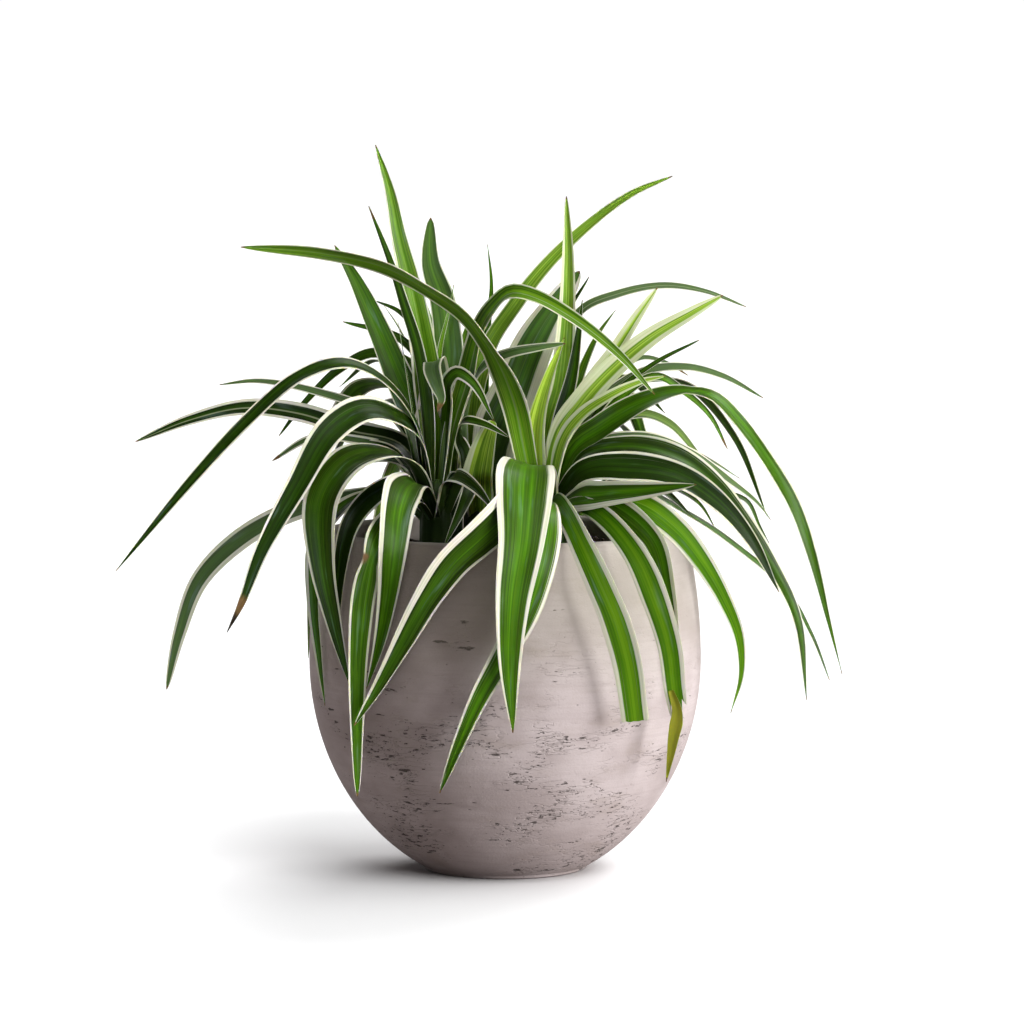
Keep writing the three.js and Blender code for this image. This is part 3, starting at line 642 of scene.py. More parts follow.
@dataclass(frozen=True)
class PotFinish:
    """Washed stone: pale grey-pink with level streaks, dark pits and short level cracks, an olive tint near
    the top that is painted leaf light, and painted shade inside.

    Args:
        pale: Its main colour.
        dull: The wash in broad, level patches.
        warm: Stains, grain and wrinkles.
        pit: The inside of pits and cracks.
        olive: Painted light near the top: an olive tint for the green light and the shade that the leaves
            throw on the wall.
        painted_inner_shade: Painted shade on the wall inside the pot.
    """

    pale: Point = (0.66, 0.585, 0.59)
    dull: Point = (0.50, 0.43, 0.43)
    warm: Point = (0.42, 0.35, 0.31)
    pit: Point = (0.035, 0.028, 0.022)
    olive: Point = (0.45, 0.43, 0.34)
    painted_inner_shade: Point = (0.30, 0.27, 0.25)

    def build(self) -> bpy.types.Material:
        """Builds the material.

        The mesh's pot_mark holds how strongly a pit marks the point, how low on the wall it is, from 0 to
        1, which also fades the painted olive leaf light near the top, and 1 inside the pot, where painted
        shade darkens the wall.

        Returns:
            The pot's material.
        """
        made, g = material("pot_stone")
        mark = g.attribute("pot_mark")
        chip, lower, inside = mark.outputs
        here = g.add("TexCoord").outputs["Object"]

        def flat_noise(
            wide: float, tall: float, detail: float, rough: float = 0.5
        ) -> bpy.types.NodeSocket:
            """Gives smooth noise in flat cells.

            Args:
                wide: How wide a cell is, in millimetres.
                tall: How high it is.
                detail: How many finer layers the noise has.
                rough: How strong they are.

            Returns:
                The noise, from 0 to 1.
            """
            scale = (1 / (wide * MM), 1 / (wide * MM), 1 / (tall * MM))
            spot = g.add("Mapping", {"Vector": here, "Scale": scale}).outputs[0]
            return g.noise(spot, 1.0, detail, rough)

        wash = flat_noise(48.0, 30.0, 3.0, 0.55)
        lines = flat_noise(60.0, 1.6, 2.0, 0.6)
        grain = flat_noise(1.1, 0.8, 2.0, 0.6)
        stain = flat_noise(26.0, 9.0, 4.0, 0.6)
        colour = g.mix(g.ease(wash, 0.35, 0.68), (*self.pale, 1.0), (*self.dull, 1.0))
        colour = g.mix(g.ease(stain, 0.52, 0.8, 0.0, 0.5), colour, (*self.warm, 1.0))
        colour = g.mix(g.ease(lines, 0.42, 0.68, 0.0, 0.26), colour, (*self.dull, 1.0))
        colour = g.mix(g.ease(grain, 0.5, 0.75, 0.0, 0.2), colour, (*self.warm, 1.0))

        region = g.maths("MULTIPLY", g.ease(flat_noise(34.0, 20.0, 2.0), 0.4, 0.66), lower)
        folds = g.maths("ABSOLUTE", g.maths("SUBTRACT", flat_noise(24.0, 5.0, 3.0, 0.6), 0.5))
        wrinkle = g.maths("MULTIPLY", g.ease(folds, 0.0, 0.018, 1.0, 0.0), region)
        cracks = flat_noise(6.5, 1.5, 4.0, 0.62)
        specks = flat_noise(2.2, 0.9, 3.0, 0.6)
        crack = g.ease(g.maths("MULTIPLY_ADD", region, 0.13, cracks), 0.72, 0.75)
        speck = g.ease(g.maths("MULTIPLY_ADD", region, 0.12, specks), 0.745, 0.775)
        ragged = g.maths("MULTIPLY_ADD", cracks, 0.9, chip)
        chosen = g.ease(ragged, 0.93, 1.0)
        pits = g.maths("MAXIMUM", g.maths("MAXIMUM", crack, speck), chosen)
        colour = g.mix(g.maths("MULTIPLY", pits, 0.8), colour, (*self.pit, 1.0))
        colour = g.mix(g.maths("MULTIPLY", wrinkle, 0.15), colour, (*self.warm, 1.0))
        # Painted light: an olive tint near the top stands in for the green light and the shade that the
        # leaves throw on the wall.
        colour = g.mix(g.ease(lower, 0.0, 1.0, 0.45, 0.0), colour, (*self.olive, 1.0))
        # Painted shade: the wall inside the pot is darkened.
        colour = g.mix(g.maths("MULTIPLY", inside, 0.45), colour, (*self.painted_inner_shade, 1.0))

        height = g.maths("ADD", g.maths("MULTIPLY", lines, 0.22), g.maths("MULTIPLY", grain, 0.3))
        height = g.maths("SUBTRACT", height, g.maths("MULTIPLY", pits, 1.5))
        height = g.maths("SUBTRACT", height, g.maths("MULTIPLY", wrinkle, 0.8))
        bump = g.add("Bump", {"Strength": 0.8, "Distance": 0.0005, "Height": height})
        shader = g.add("BsdfPrincipled", {
            "Base Color": colour,
            "Roughness": g.ease(lines, 0.3, 0.7, 0.78, 0.92),
            "Normal": bump.outputs[0],
            "Specular IOR Level": 0.3,
        })
        g.add("OutputMaterial", {0: shader.outputs[0]})
        return made


@dataclass(frozen=True)
class SoilFinish:
    """Dark, crumbly potting soil.

    Args:
        dark: The soil between its clods.
        brown: The clods.
    """

    dark: Point = (0.008, 0.006, 0.005)
    brown: Point = (0.045, 0.03, 0.02)

    def build(self) -> bpy.types.Material:
        """Builds the material.

        Returns:
            The soil's material.
        """
        made, g = material("soil_dark")
        here = g.add("TexCoord").outputs["Object"]
        clods = g.noise(here, 260.0, 4.0, 0.65)
        dust = g.noise(here, 1500.0, 2.0, 0.6)
        mixed = g.maths("MULTIPLY_ADD", dust, 0.4, g.maths("MULTIPLY", clods, 0.7))
        colour = g.ramp(mixed, ((0.3, self.dark), (0.75, self.brown)))
        bump = g.add("Bump", {"Strength": 1.0, "Distance": 0.0012, "Height": mixed})
        shader = g.add("BsdfPrincipled", {
            "Base Color": colour,
            "Roughness": g.ease(clods, 0.3, 0.7, 0.8, 1.0),
            "Normal": bump.outputs[0],
            "Specular IOR Level": 0.25,
        })
        g.add("OutputMaterial", {0: shader.outputs[0]})
        return made


# ---- Meshes ----


@dataclass
class Shell:
    """Points, faces and per-point vectors that become one mesh."""

    points: list[np.ndarray] = field(default_factory=list)
    faces: list[np.ndarray] = field(default_factory=list)
    vectors: dict[str, list[np.ndarray]] = field(default_factory=dict)
    count: int = 0

    def add(self, points: np.ndarray, faces: np.ndarray, **vectors: np.ndarray) -> None:
        """Adds a closed body.

        Args:
            points: Its points in metres, one a row.
            faces: Its four-cornered faces, as numbers of its points.
            vectors: Three numbers for each point, by the attribute's name.
        """
        self.points.append(points)
        self.faces.append(faces + self.count)
        for name, values in vectors.items():
            self.vectors.setdefault(name, []).append(values)
        self.count += len(points)

    def piece(self, name: str, finish: bpy.types.Material, sharp: float = 50.0) -> bpy.types.Object:
        """Makes the mesh and its object.

        Args:
            name: The piece's name.
            finish: Its material.
            sharp: The angle between faces from which an edge stays sharp, in degrees.

        Returns:
            The object, at the origin.
        """
        mesh = bpy.data.meshes.new(name)
        points = np.vstack(self.points)
        faces = np.vstack(self.faces)
        mesh.from_pydata(points.tolist(), [], faces.tolist())
        for label, values in self.vectors.items():
            layer = mesh.attributes.new(label, "FLOAT_VECTOR", "POINT")
            layer.data.foreach_set("vector", np.vstack(values).astype(np.float32).ravel())
        mesh.shade_smooth()
        mesh.set_sharp_from_angle(angle=math.radians(sharp))
        mesh.materials.append(finish)
        made = bpy.data.objects.new(name, mesh)
        bpy.context.scene.collection.objects.link(made)
        return made


def settle(piece: bpy.types.Object, slot: str, *nodes: str) -> None:
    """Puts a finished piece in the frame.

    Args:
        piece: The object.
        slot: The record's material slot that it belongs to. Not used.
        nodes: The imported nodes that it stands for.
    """
    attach(piece, ROOT)
    if nodes:
        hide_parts(*nodes)
    LOG.info("%s: %d faces", piece.name, len(piece.data.polygons))


def ring_faces(rings: int, around: int) -> np.ndarray:
    """Gives the faces between rings of points that each close on themselves.

    Args:
        rings: How many rings there are.
        around: How many points each has, in order.

    Returns:
        One row of four point numbers for each face.
    """
    ring, spot = np.meshgrid(np.arange(rings - 1), np.arange(around), indexing="ij")
    after = (spot + 1) % around
    corners = (ring * around + spot, ring * around + after)
    above = (corners[1] + around, corners[0] + around)
    return np.stack([*corners, *above], -1).reshape(-1, 4)


def waves(at: np.ndarray, seed: float, size: float = 1.0) -> np.ndarray:
    """Gives smooth, uneven waves about one unit high.

    Args:
        at: The places along the waves.
        seed: A number that shifts them.
        size: About how long one wave is.

    Returns:
        Their height at each place.
    """
    low = np.sin(2 * math.pi * (0.61 * at / size + 0.37 * seed))
    high = np.sin(2 * math.pi * (1.37 * at / size + 0.83 * seed + 0.2))
    return 0.65 * low + 0.35 * high


def smooth_route(via: np.ndarray, steps: int, fineness: int = 24) -> np.ndarray:
    """Draws a smooth line through a leaf's places.

    Args:
        via: The places, one a row.
        steps: How many even steps to walk it in.
        fineness: How many samples to take between two places.

    Returns:
        The line's points, an even way apart, one more than the steps.
    """
    ends = np.vstack([2 * via[0] - via[1], via, 2 * via[-1] - via[-2]])
    gaps = np.sqrt(np.linalg.norm(np.diff(ends, axis=0), axis=1))
    share = np.linspace(0, 1, fineness, endpoint=False)[:, None]
    drawn = []
    for i in range(len(via) - 1):
        a, b, c = gaps[i : i + 3]
        before, start, end, after = ends[i : i + 4]
        leave = b * ((start - before) / a - (end - before) / (a + b) + (end - start) / b)
        arrive = b * ((end - start) / b - (after - start) / (b + c) + (after - end) / c)
        cube, square = share**3, share**2
        drawn.append(
            start * (2 * cube - 3 * square + 1)
            + leave * (cube - 2 * square + share)
            + end * (3 * square - 2 * cube)
            + arrive * (cube - square)
        )
    drawn.append(via[-1:])
    line = np.vstack(drawn)
    length = np.concatenate([[0.0], np.cumsum(np.linalg.norm(np.diff(line, axis=0), axis=1))])
    at = np.linspace(0, length[-1], steps + 1)
    return np.column_stack([np.interp(at, length, line[:, axis]) for axis in range(3)])


@dataclass(frozen=True)
class Midrib:
    """A leaf's midrib: points, and at each the way across the blade and out of its upper face."""

    points: np.ndarray
    across: np.ndarray
    up: np.ndarray
    length: float

    @classmethod
    def along(cls, via: np.ndarray, face: tuple[float, ...], steps: int) -> "Midrib":
        """Walks a route. The upper face starts towards the plant's middle and is then turned.

        Args:
            via: The places that the leaf passes, in millimetres.
            face: How far the face turns, at even shares from root to tip, in degrees.
            steps: How many steps to take.

        Returns:
            The midrib.
        """
        points = smooth_route(via, steps)
        first, last = points[1:2] - points[:1], points[-1:] - points[-2:-1]
        heading = np.vstack([first, points[2:] - points[:-2], last])
        heading /= np.linalg.norm(heading, axis=1)[:, None]
        plan = points[-1] - points[0]
        normal = -np.array([plan[0], plan[1], 0.0]) / math.hypot(plan[0], plan[1])
        turns = np.interp(np.linspace(0, 1, steps + 1), np.linspace(0, 1, len(face)), np.radians(face))
        across, up = [], []
        side = 1.0
        for i, way in enumerate(heading):
            normal = normal - (normal @ way) * way
            normal /= np.linalg.norm(normal)
            level = np.cross(way, normal)
            if i == 0 and level[1] > 0:
                side = -1.0
            turn = side * turns[i]
            out = normal * math.cos(turn) + level * math.sin(turn)
            up.append(out)
            across.append(np.cross(out, way))
        length = float(np.linalg.norm(np.diff(points, axis=0), axis=1).sum())
        return cls(points, np.array(across), np.array(up), length)

    def at(self, share: np.ndarray) -> tuple[np.ndarray, np.ndarray, np.ndarray]:
        """Looks up places on the midrib.

        Args:
            share: Shares of the length, in an array of any shape.

        Returns:
            The points, the ways across and the ways out of the upper face.
        """
        steps = len(self.points) - 1
        place = np.clip(share, 0, 1) * steps
        low = np.minimum(place.astype(int), steps - 1)
        part = (place - low)[..., None]
        points, across, up = (
            rows[low] * (1 - part) + rows[low + 1] * part for rows in (self.points, self.across, self.up)
        )
        return points, across, up


@dataclass
class Blade:
    """Makes the closed mesh of a leaf.

    Sizes are in millimetres. Shares are of the leaf's length, or across one half of it.

    Args:
        steps: How many steps the mesh takes along a leaf.
        columns: How many it takes across.
        thickness: How thick the blade is at the midrib.
        edge_thickness: How thick it is at its edges.
        base_fold: How much deeper its gutter is at the root, as a share of the half width.
        base_folded_to: The share of the length at which that ends.
        base_share: The share of its width that it has at the root.
        full_from: The share of the length from which it is fully wide.
        taper_from: The share from which it runs in to the tip.
        tip: Half the tip's width.
        crease: How softly the gutter turns at the midrib.
        ripple: How high its edges wave, as a share of the half width.
        ripple_length: About how long one wave is.
        flat_to: The share of the length over which the waves grow.
        pleat: How high the folds along the blade are.
        pleat_full: The half width from which they are that high.
        wobble: How unevenly wide it is, as a share.
        wobble_length: About how long one uneven stretch is.
        nick_depth: How much narrower it is at a dried tear, as a share.
        nick_length: How far along the tear narrows it, as a share of the length.
        nick_brown: How far along the tear is brown.
        cut_depth: How ragged a cut end is, as a share of the length.
        torn_depth: How ragged a torn end is.
        painted_root_shade_to: How far from the root painted shade deepens its green.
    """

    steps: int = 60
    columns: int = 12
    thickness: float = 0.55
    edge_thickness: float = 0.28
    base_fold: float = 0.55
    base_folded_to: float = 0.3
    base_share: float = 0.42
    full_from: float = 0.35
    taper_from: float = 0.38
    tip: float = 0.2
    crease: float = 0.015
    ripple: float = 0.035
    ripple_length: float = 46.0
    flat_to: float = 0.25
    pleat: float = 0.11
    pleat_full: float = 6.0
    wobble: float = 0.03
    wobble_length: float = 61.0
    nick_depth: float = 0.35
    nick_length: float = 0.03
    nick_brown: float = 0.012
    cut_depth: float = 0.004
    torn_depth: float = 0.07
    painted_root_shade_to: float = 95.0

    def half_width(self, leaf: Leaf, share: np.ndarray) -> np.ndarray:
        """Gives how wide a leaf is.

        Args:
            leaf: The leaf.
            share: Shares of the length that it grew to, before any cut.

        Returns:
            The half width at each share.
        """
        base = self.base_share + (1 - self.base_share) * np.clip(share / self.full_from, 0, 1)
        narrow = np.clip((1 - share) / (1 - self.taper_from), 0, 1) ** leaf.point
        half = leaf.width / 2 * base * narrow
        if leaf.nick is not None:
            near = np.exp(-(((share - leaf.nick) / self.nick_length) ** 2))
            half = half * (1 - self.nick_depth * near)
        return np.maximum(self.tip, half)

    def deadness(self, leaf: Leaf, share: np.ndarray, way: np.ndarray) -> np.ndarray:
        """Gives how dried out a leaf is.

        Args:
            leaf: The leaf.
            share: Shares of its length.
            way: Shares across it, from -1 to 1.

        Returns:
            From 0 for fresh to 1 for brown and above that for black.
        """
        if leaf.tip is Tip.CUT:
            return 0 * share
        start = 1 - leaf.tip.value
        gone = np.clip((share - start) / max(leaf.tip.value, 1e-3) + 0.25, 0, 1.0)
        if leaf.tip is Tip.BLACK:
            gone = gone * 1.5
        if leaf.nick is not None:
            near = np.exp(-(((share - leaf.nick) / self.nick_brown) ** 2))
            gone = gone + 0.9 * np.clip(0.3 - way, 0, 1) * near
        return gone + (0.3 * way**2 if leaf.tone is Tone.DRY else 0 * way)

    @staticmethod
    def both_sides(values: np.ndarray) -> np.ndarray:
        """Gives the upper face's values to the lower face too, in the order of the mesh's points."""
        return np.concatenate([values, values[:, ::-1]], 1).ravel()

    def add_to(
        self, shell: Shell, leaf: Leaf, centre: tuple[float, float], number: float, painted_root_shade: float
    ) -> None:
        """Adds a leaf to a rosette's mesh.

        Args:
            shell: The rosette's mesh so far.
            leaf: The leaf.
            centre: The middle of its rosette, in millimetres.
            number: A number of its own, from 0 to 1, that shifts its pattern.
            painted_root_shade: How much painted shade deepens its green at the root.
        """
        via = np.array(leaf.via, float)
        if not leaf.free:
            way = via[0, :2] - centre
            root = np.array([*(centre + way / np.linalg.norm(way) * Crown.root_offset), Crown.root_height])
            via = np.vstack([root, via])
        midrib = Midrib.along(via, leaf.face, self.steps)
        way = np.linspace(-1, 1, self.columns + 1)[None, :]
        share = np.linspace(0, 1, self.steps + 1)[:, None] + 0 * way
        if leaf.tip in (Tip.CUT, Tip.TORN):
            depth = self.cut_depth if leaf.tip is Tip.CUT else self.torn_depth
            jag = depth * (0.5 + 0.5 * np.sin(9.7 * way + 6.1 * np.sin(4.3 * way + 1.7)))
            share = share * (1 - jag * np.clip((share - 0.6) / 0.4, 0, 1) ** 2)
        points, across, up = midrib.at(share)
        grown = share * leaf.ends
        half = self.half_width(leaf, grown)
        run = share * midrib.length
        fold = leaf.fold + self.base_fold * np.clip(1 - grown / self.base_folded_to, 0, 1) ** 2
        bend = np.sqrt(way**2 + self.crease) - math.sqrt(self.crease)
        rise = waves(run, number + 0.31 * np.sign(way), self.ripple_length)
        ripple = leaf.wave * self.ripple * way**2 * rise
        free_part = np.clip(grown / self.flat_to, 0, 1)
        lift = half * (fold * bend + ripple * free_part)
        lift = lift + self.pleat * np.cos(5 * math.pi * way) * np.clip(half / self.pleat_full, 0, 1)
        wobble = 1 + self.wobble * waves(run, number + 2.7, self.wobble_length)
        upper = points + across * (way * half * wobble)[..., None] + up * lift[..., None]
        thick = self.edge_thickness + (self.thickness - self.edge_thickness) * (1 - way**2)
        lower = upper - up * (thick * np.clip(half / 2, 0.35, 1))[..., None]
        ring = np.concatenate([upper, lower[:, ::-1]], 1)
        around = ring.shape[1]
        faces = ring_faces(self.steps + 1, around)[:, ::-1]
        last = self.steps * around
        ends = np.arange(self.columns)
        start_cap = np.stack([ends, ends + 1, around - 2 - ends, around - 1 - ends], 1)
        faces = np.vstack([faces, start_cap, start_cap[:, ::-1] + last])

        spread = way + 0 * share
        shown = np.clip(grown / leaf.bare, 0, 1)
        cream = np.where(spread < 0, leaf.cream[0], leaf.cream[1]) * shown * shown * (3 - 2 * shown)
        dead = self.both_sides(self.deadness(leaf, share, way))
        # Painted shade: near the root the green is made darker and less yellow, for the shade of the crowded
        # crown.
        low = np.clip(1 - self.both_sides(run) / self.painted_root_shade_to, 0, 1)
        light, yellow, grey = (value + 0 * low for value in leaf.tone.value)
        under = np.concatenate([0 * spread, 1 + 0 * spread], 1).ravel()
        straw = float(leaf.tone is Tone.DRY) + 0 * low
        shell.add(
            ring.reshape(-1, 3) * MM,
            faces,
            leaf_place=np.column_stack(
                [self.both_sides(each) for each in (spread, spread * leaf.width / 2, run)]
            ),
            leaf_look=np.column_stack([light - painted_root_shade * low, yellow * (1 - low * painted_root_shade), grey]),
            leaf_state=np.column_stack([self.both_sides(cream), dead, number + 0 * dead]),
            leaf_side=np.column_stack([under, leaf.midline + 0 * under, straw]),
        )


@dataclass
class Crown:
    """The short stem that a rosette's leaves wrap, in millimetres.

    Every leaf starts at root_height in the stem, root_offset from its middle.

    Args:
        bottom: How high its lower end is, in the soil.
        shoulder: The height from which it narrows.
        top: How high it ends.
        radius: How thick it is below the shoulder, from its middle.
        sides: How many points the mesh has round it.
        ribs: How many ribs it has.
        rib: How deep the grooves between them are.
        look: Its tone, as in a leaf, darker than any leaf as painted shade in the rosette's middle.
    """

    root_offset: ClassVar[float] = 3.0
    root_height: ClassVar[float] = 176.0
    bottom: float = 150.0
    shoulder: float = 176.0
    top: float = 200.0
    radius: float = 8.4
    sides: int = 40
    ribs: int = 9
    rib: float = 0.5
    # Painted shade: the stem is darker than any leaf, for the shade in the rosette's middle.
    look: Point = (-0.3, 0.0, 0.05)

    def add_to(self, shell: Shell, centre: tuple[float, float]) -> None:
        """Adds the stem to a rosette's mesh.

        Args:
            shell: The rosette's mesh so far.
            centre: The middle of the rosette.
        """
        heights = np.array([self.bottom, 156, 162, 168, self.shoulder, 182, 188, 194, 198, self.top])
        rise = np.clip((heights - self.shoulder) / (self.top - self.shoulder), 0, 1)
        radii = self.radius * np.sqrt(1 - 0.96 * rise**2)
        turn = np.linspace(0, 2 * math.pi, self.sides, endpoint=False)[None, :]
        radius = radii[:, None] - self.rib * (0.5 + 0.5 * np.cos(self.ribs * turn))
        x = centre[0] + radius * np.cos(turn)
        y = centre[1] + radius * np.sin(turn)
        z = heights[:, None] + 0 * turn
        points = np.stack([x, y, z], -1).reshape(-1, 3)
        faces = ring_faces(len(heights), self.sides)
        caps = disc_faces(self.sides)
        faces = np.vstack([faces, caps[:, ::-1], caps + (len(heights) - 1) * self.sides])
        count = len(points)
        ones = np.ones(count)
        shell.add(
            points * MM,
            faces,
            leaf_place=np.column_stack([0.4 * ones, points[:, 0], points[:, 2]]),
            leaf_look=np.tile(self.look, (count, 1)),
            leaf_state=np.column_stack([0.1 * ones, 0 * ones, 0.5 * ones]),
            leaf_side=np.column_stack([ones, 0 * ones, 0 * ones]),
        )


def disc_faces(around: int) -> np.ndarray:
    """Fills a ring of points with four-cornered faces, in strips across it.

    Args:
        around: How many points it has, an even number.

    Returns:
        One row of four point numbers for each face.
    """
    half = around // 2
    rows = np.arange(half - 1)
    return np.stack([rows, rows + 1, around - 2 - rows, around - 1 - rows], 1)


@dataclass
class Rosette:
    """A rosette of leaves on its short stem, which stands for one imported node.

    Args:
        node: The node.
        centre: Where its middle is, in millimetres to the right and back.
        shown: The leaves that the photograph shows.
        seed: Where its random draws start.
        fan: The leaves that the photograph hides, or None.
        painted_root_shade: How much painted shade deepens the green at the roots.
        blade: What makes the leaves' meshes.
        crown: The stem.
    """

    node: str
    centre: tuple[float, float]
    shown: tuple[Leaf, ...]
    seed: int
    fan: Fan | None = None
    painted_root_shade: float = 0.6
    blade: Blade = field(default_factory=Blade)
    crown: Crown = field(default_factory=Crown)

    def build(self, finish: bpy.types.Material) -> bpy.types.Object:
        """Builds the rosette's piece.

        Args:
            finish: The leaf material.

        Returns:
            The piece.
        """
        shell = Shell()
        self.crown.add_to(shell, self.centre)
        leaves = list(self.shown) + (self.fan.leaves(self.centre) if self.fan else [])
        vary = draws(self.seed)
        for leaf in leaves:
            self.blade.add_to(shell, leaf, self.centre, 0.5 + vary(0.5), self.painted_root_shade)
        piece = shell.piece(self.node.replace("rosette", "leaves"), finish)
        settle(piece, "leaf", self.node)
        return piece


@dataclass
class Mark:
    """A pit or a crack in the pot.

    Args:
        direction: Where its middle is, in degrees from the front to the right.
        height: How high that is, in millimetres.
        length: How long it is round the pot, in millimetres.
        thickness: How tall it is, in millimetres.
        strength: How deep and dark it is. Below 1, noise breaks it up.
        slope: How far it rises to the right, as a share of its length.
    """

    direction: float
    height: float
    length: float
    thickness: float
    strength: float = 1.0
    slope: float = 0.0


@dataclass
class Pot:
    """The round pot, in millimetres.

    Args:
        height: How high it is.
        belly: Its greatest radius.
        belly_height: How high that is. Two half ellipses meet there in the outline.
        upper_reach: The half height of the upper one.
        lower_reach: The half height of the lower one.
        foot_height: Over what height the foot's edge is rounded.
        foot_radius: The radius of the flat foot.
        wall: How thick the wall is.
        floor: How thick the floor is.
        lip: How high the lip's round is.
        gap: How far the soil stays clear of the pot.
        sides: How many points the mesh has round the pot.
        foot_rows: How many rows of points the foot has.
        heel_rows: How many its rounded edge has.
        outer_rows: How many the outside has.
        lip_rows: How many the lip has.
        lip_rows_unshaded: How many of those keep the outside's colour, free of the painted shade inside.
        inner_rows: How many the inside has.
        skin: How far the outside is set back, so that its uneven places stay within the pot's size.
        uneven: How far the slow and the quick waves of the outside go.
        pit_depth: How deep a full pit is.
        wear_and_leaf_light_edge: The height below which the wall is pitted and loses the painted olive leaf
            light.
        wear_and_leaf_light_blend: The height over which that comes in.
        pits: How many small pits are drawn.
        seed: Where their random draws start.
        marks: The larger pits and cracks, at their places in the photograph.
    """

    height: float = 174.0
    belly: float = 100.2
    belly_height: float = 108.0
    upper_reach: float = 172.0
    lower_reach: float = 117.5
    foot_height: float = 1.6
    foot_radius: float = 40.0
    wall: float = 6.5
    floor: float = 9.0
    lip: float = 2.6
    gap: float = 0.3
    sides: int = 480
    foot_rows: int = 6
    heel_rows: int = 2
    outer_rows: int = 132
    lip_rows: int = 13
    lip_rows_unshaded: int = 9
    inner_rows: int = 30
    skin: float = 0.22
    uneven: tuple[float, float] = (0.132, 0.084)
    pit_depth: float = 0.45
    wear_and_leaf_light_edge: float = 150.0
    wear_and_leaf_light_blend: float = 60.0
    pits: int = 110
    seed: int = 5
    marks: tuple[Mark, ...] = (
        Mark(-17, 126, 27, 3.0, 0.55),
        Mark(-11.5, 123.5, 14, 5.0, 0.57),
        Mark(-12, 136, 9, 5.0, 0.52),
        Mark(-34, 101, 13, 4.4, 0.57),
        Mark(-56, 108, 11, 3.0, 0.62),
        Mark(-62, 87, 11, 2.8, 0.62),
        Mark(-60, 81, 9, 2.8, 0.6),
        Mark(-39, 88, 10, 2.4, 0.5),
        Mark(-31, 86, 12, 2.2, 0.5),
        Mark(-17, 115, 5, 2.2, 0.55),
        Mark(-40, 71, 4, 2.4, 0.62),
        Mark(-38, 67, 15, 4.2, 0.56),
        Mark(-26, 62, 3, 2.2, 0.65),
        Mark(-3, 71, 11, 5.0, 0.56),
        Mark(4, 66, 18, 1.8, 0.52, -0.5),
        Mark(-22, 44, 32, 2.2, 0.54, -0.12),
        Mark(-10, 41, 18, 1.8, 0.52, -0.1),
        Mark(-30, 30, 26, 3.0, 0.5, -0.1),
        Mark(27, 56, 14, 2.2, 0.5, -0.25),
        Mark(9, 6, 9, 4.0, 0.5),
    )

    def radius(self, height: np.ndarray, inset: float = 0.0) -> np.ndarray:
        """Gives the wall's radius.

        Args:
            height: The heights to give it at.
            inset: How far the line is moved in from the outside.

        Returns:
            The radius at each height.
        """
        lower = self.lower_reach - (self.floor + self.gap if inset else 0.0)
        reach = np.where(height > self.belly_height, self.upper_reach, lower)
        return (self.belly - inset) * np.sqrt(1 - ((height - self.belly_height) / reach) ** 2)

    def profile(self) -> tuple[np.ndarray, np.ndarray]:
        """Draws the pot's outline from the middle of the foot round to the middle of the floor.

        Returns:
            The radii and the heights of its points.
        """
        shoulder = self.height - self.lip
        share = np.linspace(0, 1, self.outer_rows)
        low = self.foot_height + (shoulder - self.foot_height) * share**1.1
        outer = self.radius(low)
        high = np.linspace(shoulder, self.floor + 0.5, self.inner_rows)
        inner = self.radius(high, self.wall)
        turn = np.radians(np.linspace(8, 172, self.lip_rows))
        middle, half = (outer[-1] + inner[0]) / 2, (outer[-1] - inner[0]) / 2
        foot = np.linspace(2, self.foot_radius, self.foot_rows)
        curve = np.radians(np.linspace(35, 70, self.heel_rows))
        heel = outer[0] - self.foot_radius
        radii = np.concatenate([
            foot, self.foot_radius + heel * np.sin(curve), outer,
            middle + half * np.cos(turn), inner, foot[::-1],
        ])
        heights = np.concatenate([
            0 * foot, self.foot_height * (1 - np.cos(curve)), low, shoulder + self.lip * np.sin(turn),
            high, self.floor + 0 * foot,
        ])
        return radii, heights

    def scattered(self) -> list[Mark]:
        """Draws the small pits, most of them on the lower half.

        Returns:
            One mark for each pit.
        """
        vary = draws(self.seed)
        found = []
        for _ in range(self.pits):
            height = 22 + 128 * (0.5 + vary(0.5)) ** 1.5
            length = 2.2 + 7.5 * (0.5 + vary(0.5)) ** 3
            around = 180 * (0.5 + vary(0.5)) ** 1.3
            around = math.copysign(around, vary(1)) - 40
            found.append(Mark(around, height, length, 1.1 + 0.16 * length, 0.4 + vary(0.3)))
        return found

    def build(self, finish: bpy.types.Material) -> bpy.types.Object:
        """Builds the pot's piece.

        Args:
            finish: The stone material.

        Returns:
            The piece.
        """
        radii, heights = self.profile()
        turn = np.linspace(0, 2 * math.pi, self.sides, endpoint=False)[None, :]
        rows = len(radii)
        row = np.arange(rows)[:, None]
        lip_row = self.foot_rows + self.heel_rows + self.outer_rows
        inner_row = lip_row + self.lip_rows
        radius = radii[:, None] + 0 * turn
        height = heights[:, None] + 0 * turn
        outside = (row < lip_row) & (radius > self.foot_radius + 1)
        chip = np.zeros_like(radius)
        front = turn + math.pi / 2
        for mark in (*self.marks, *self.scattered()):
            off = (front - math.radians(mark.direction) + math.pi) % (2 * math.pi) - math.pi
            wide = off * radius
            tall = height - mark.height - mark.slope * wide
            spot = np.exp(-((2 * wide / mark.length) ** 4) - (2 * tall / mark.thickness) ** 2)
            chip = np.maximum(chip, mark.strength * spot)
        chip = chip * outside
        slow = self.uneven[0] * np.sin(3 * turn + 0.03 * height)
        quick = self.uneven[1] * np.sin(5 * turn - 0.05 * height + 1.1)
        uneven = (slow + quick) * (radius > 30)
        outer_share = np.clip((inner_row - row) / self.lip_rows, 0, 1)
        radius = radius - self.pit_depth * chip - (self.skin - uneven) * outer_share
        points = np.stack([radius * np.cos(turn), radius * np.sin(turn), height], -1)
        faces = ring_faces(rows, self.sides)
        caps = disc_faces(self.sides)
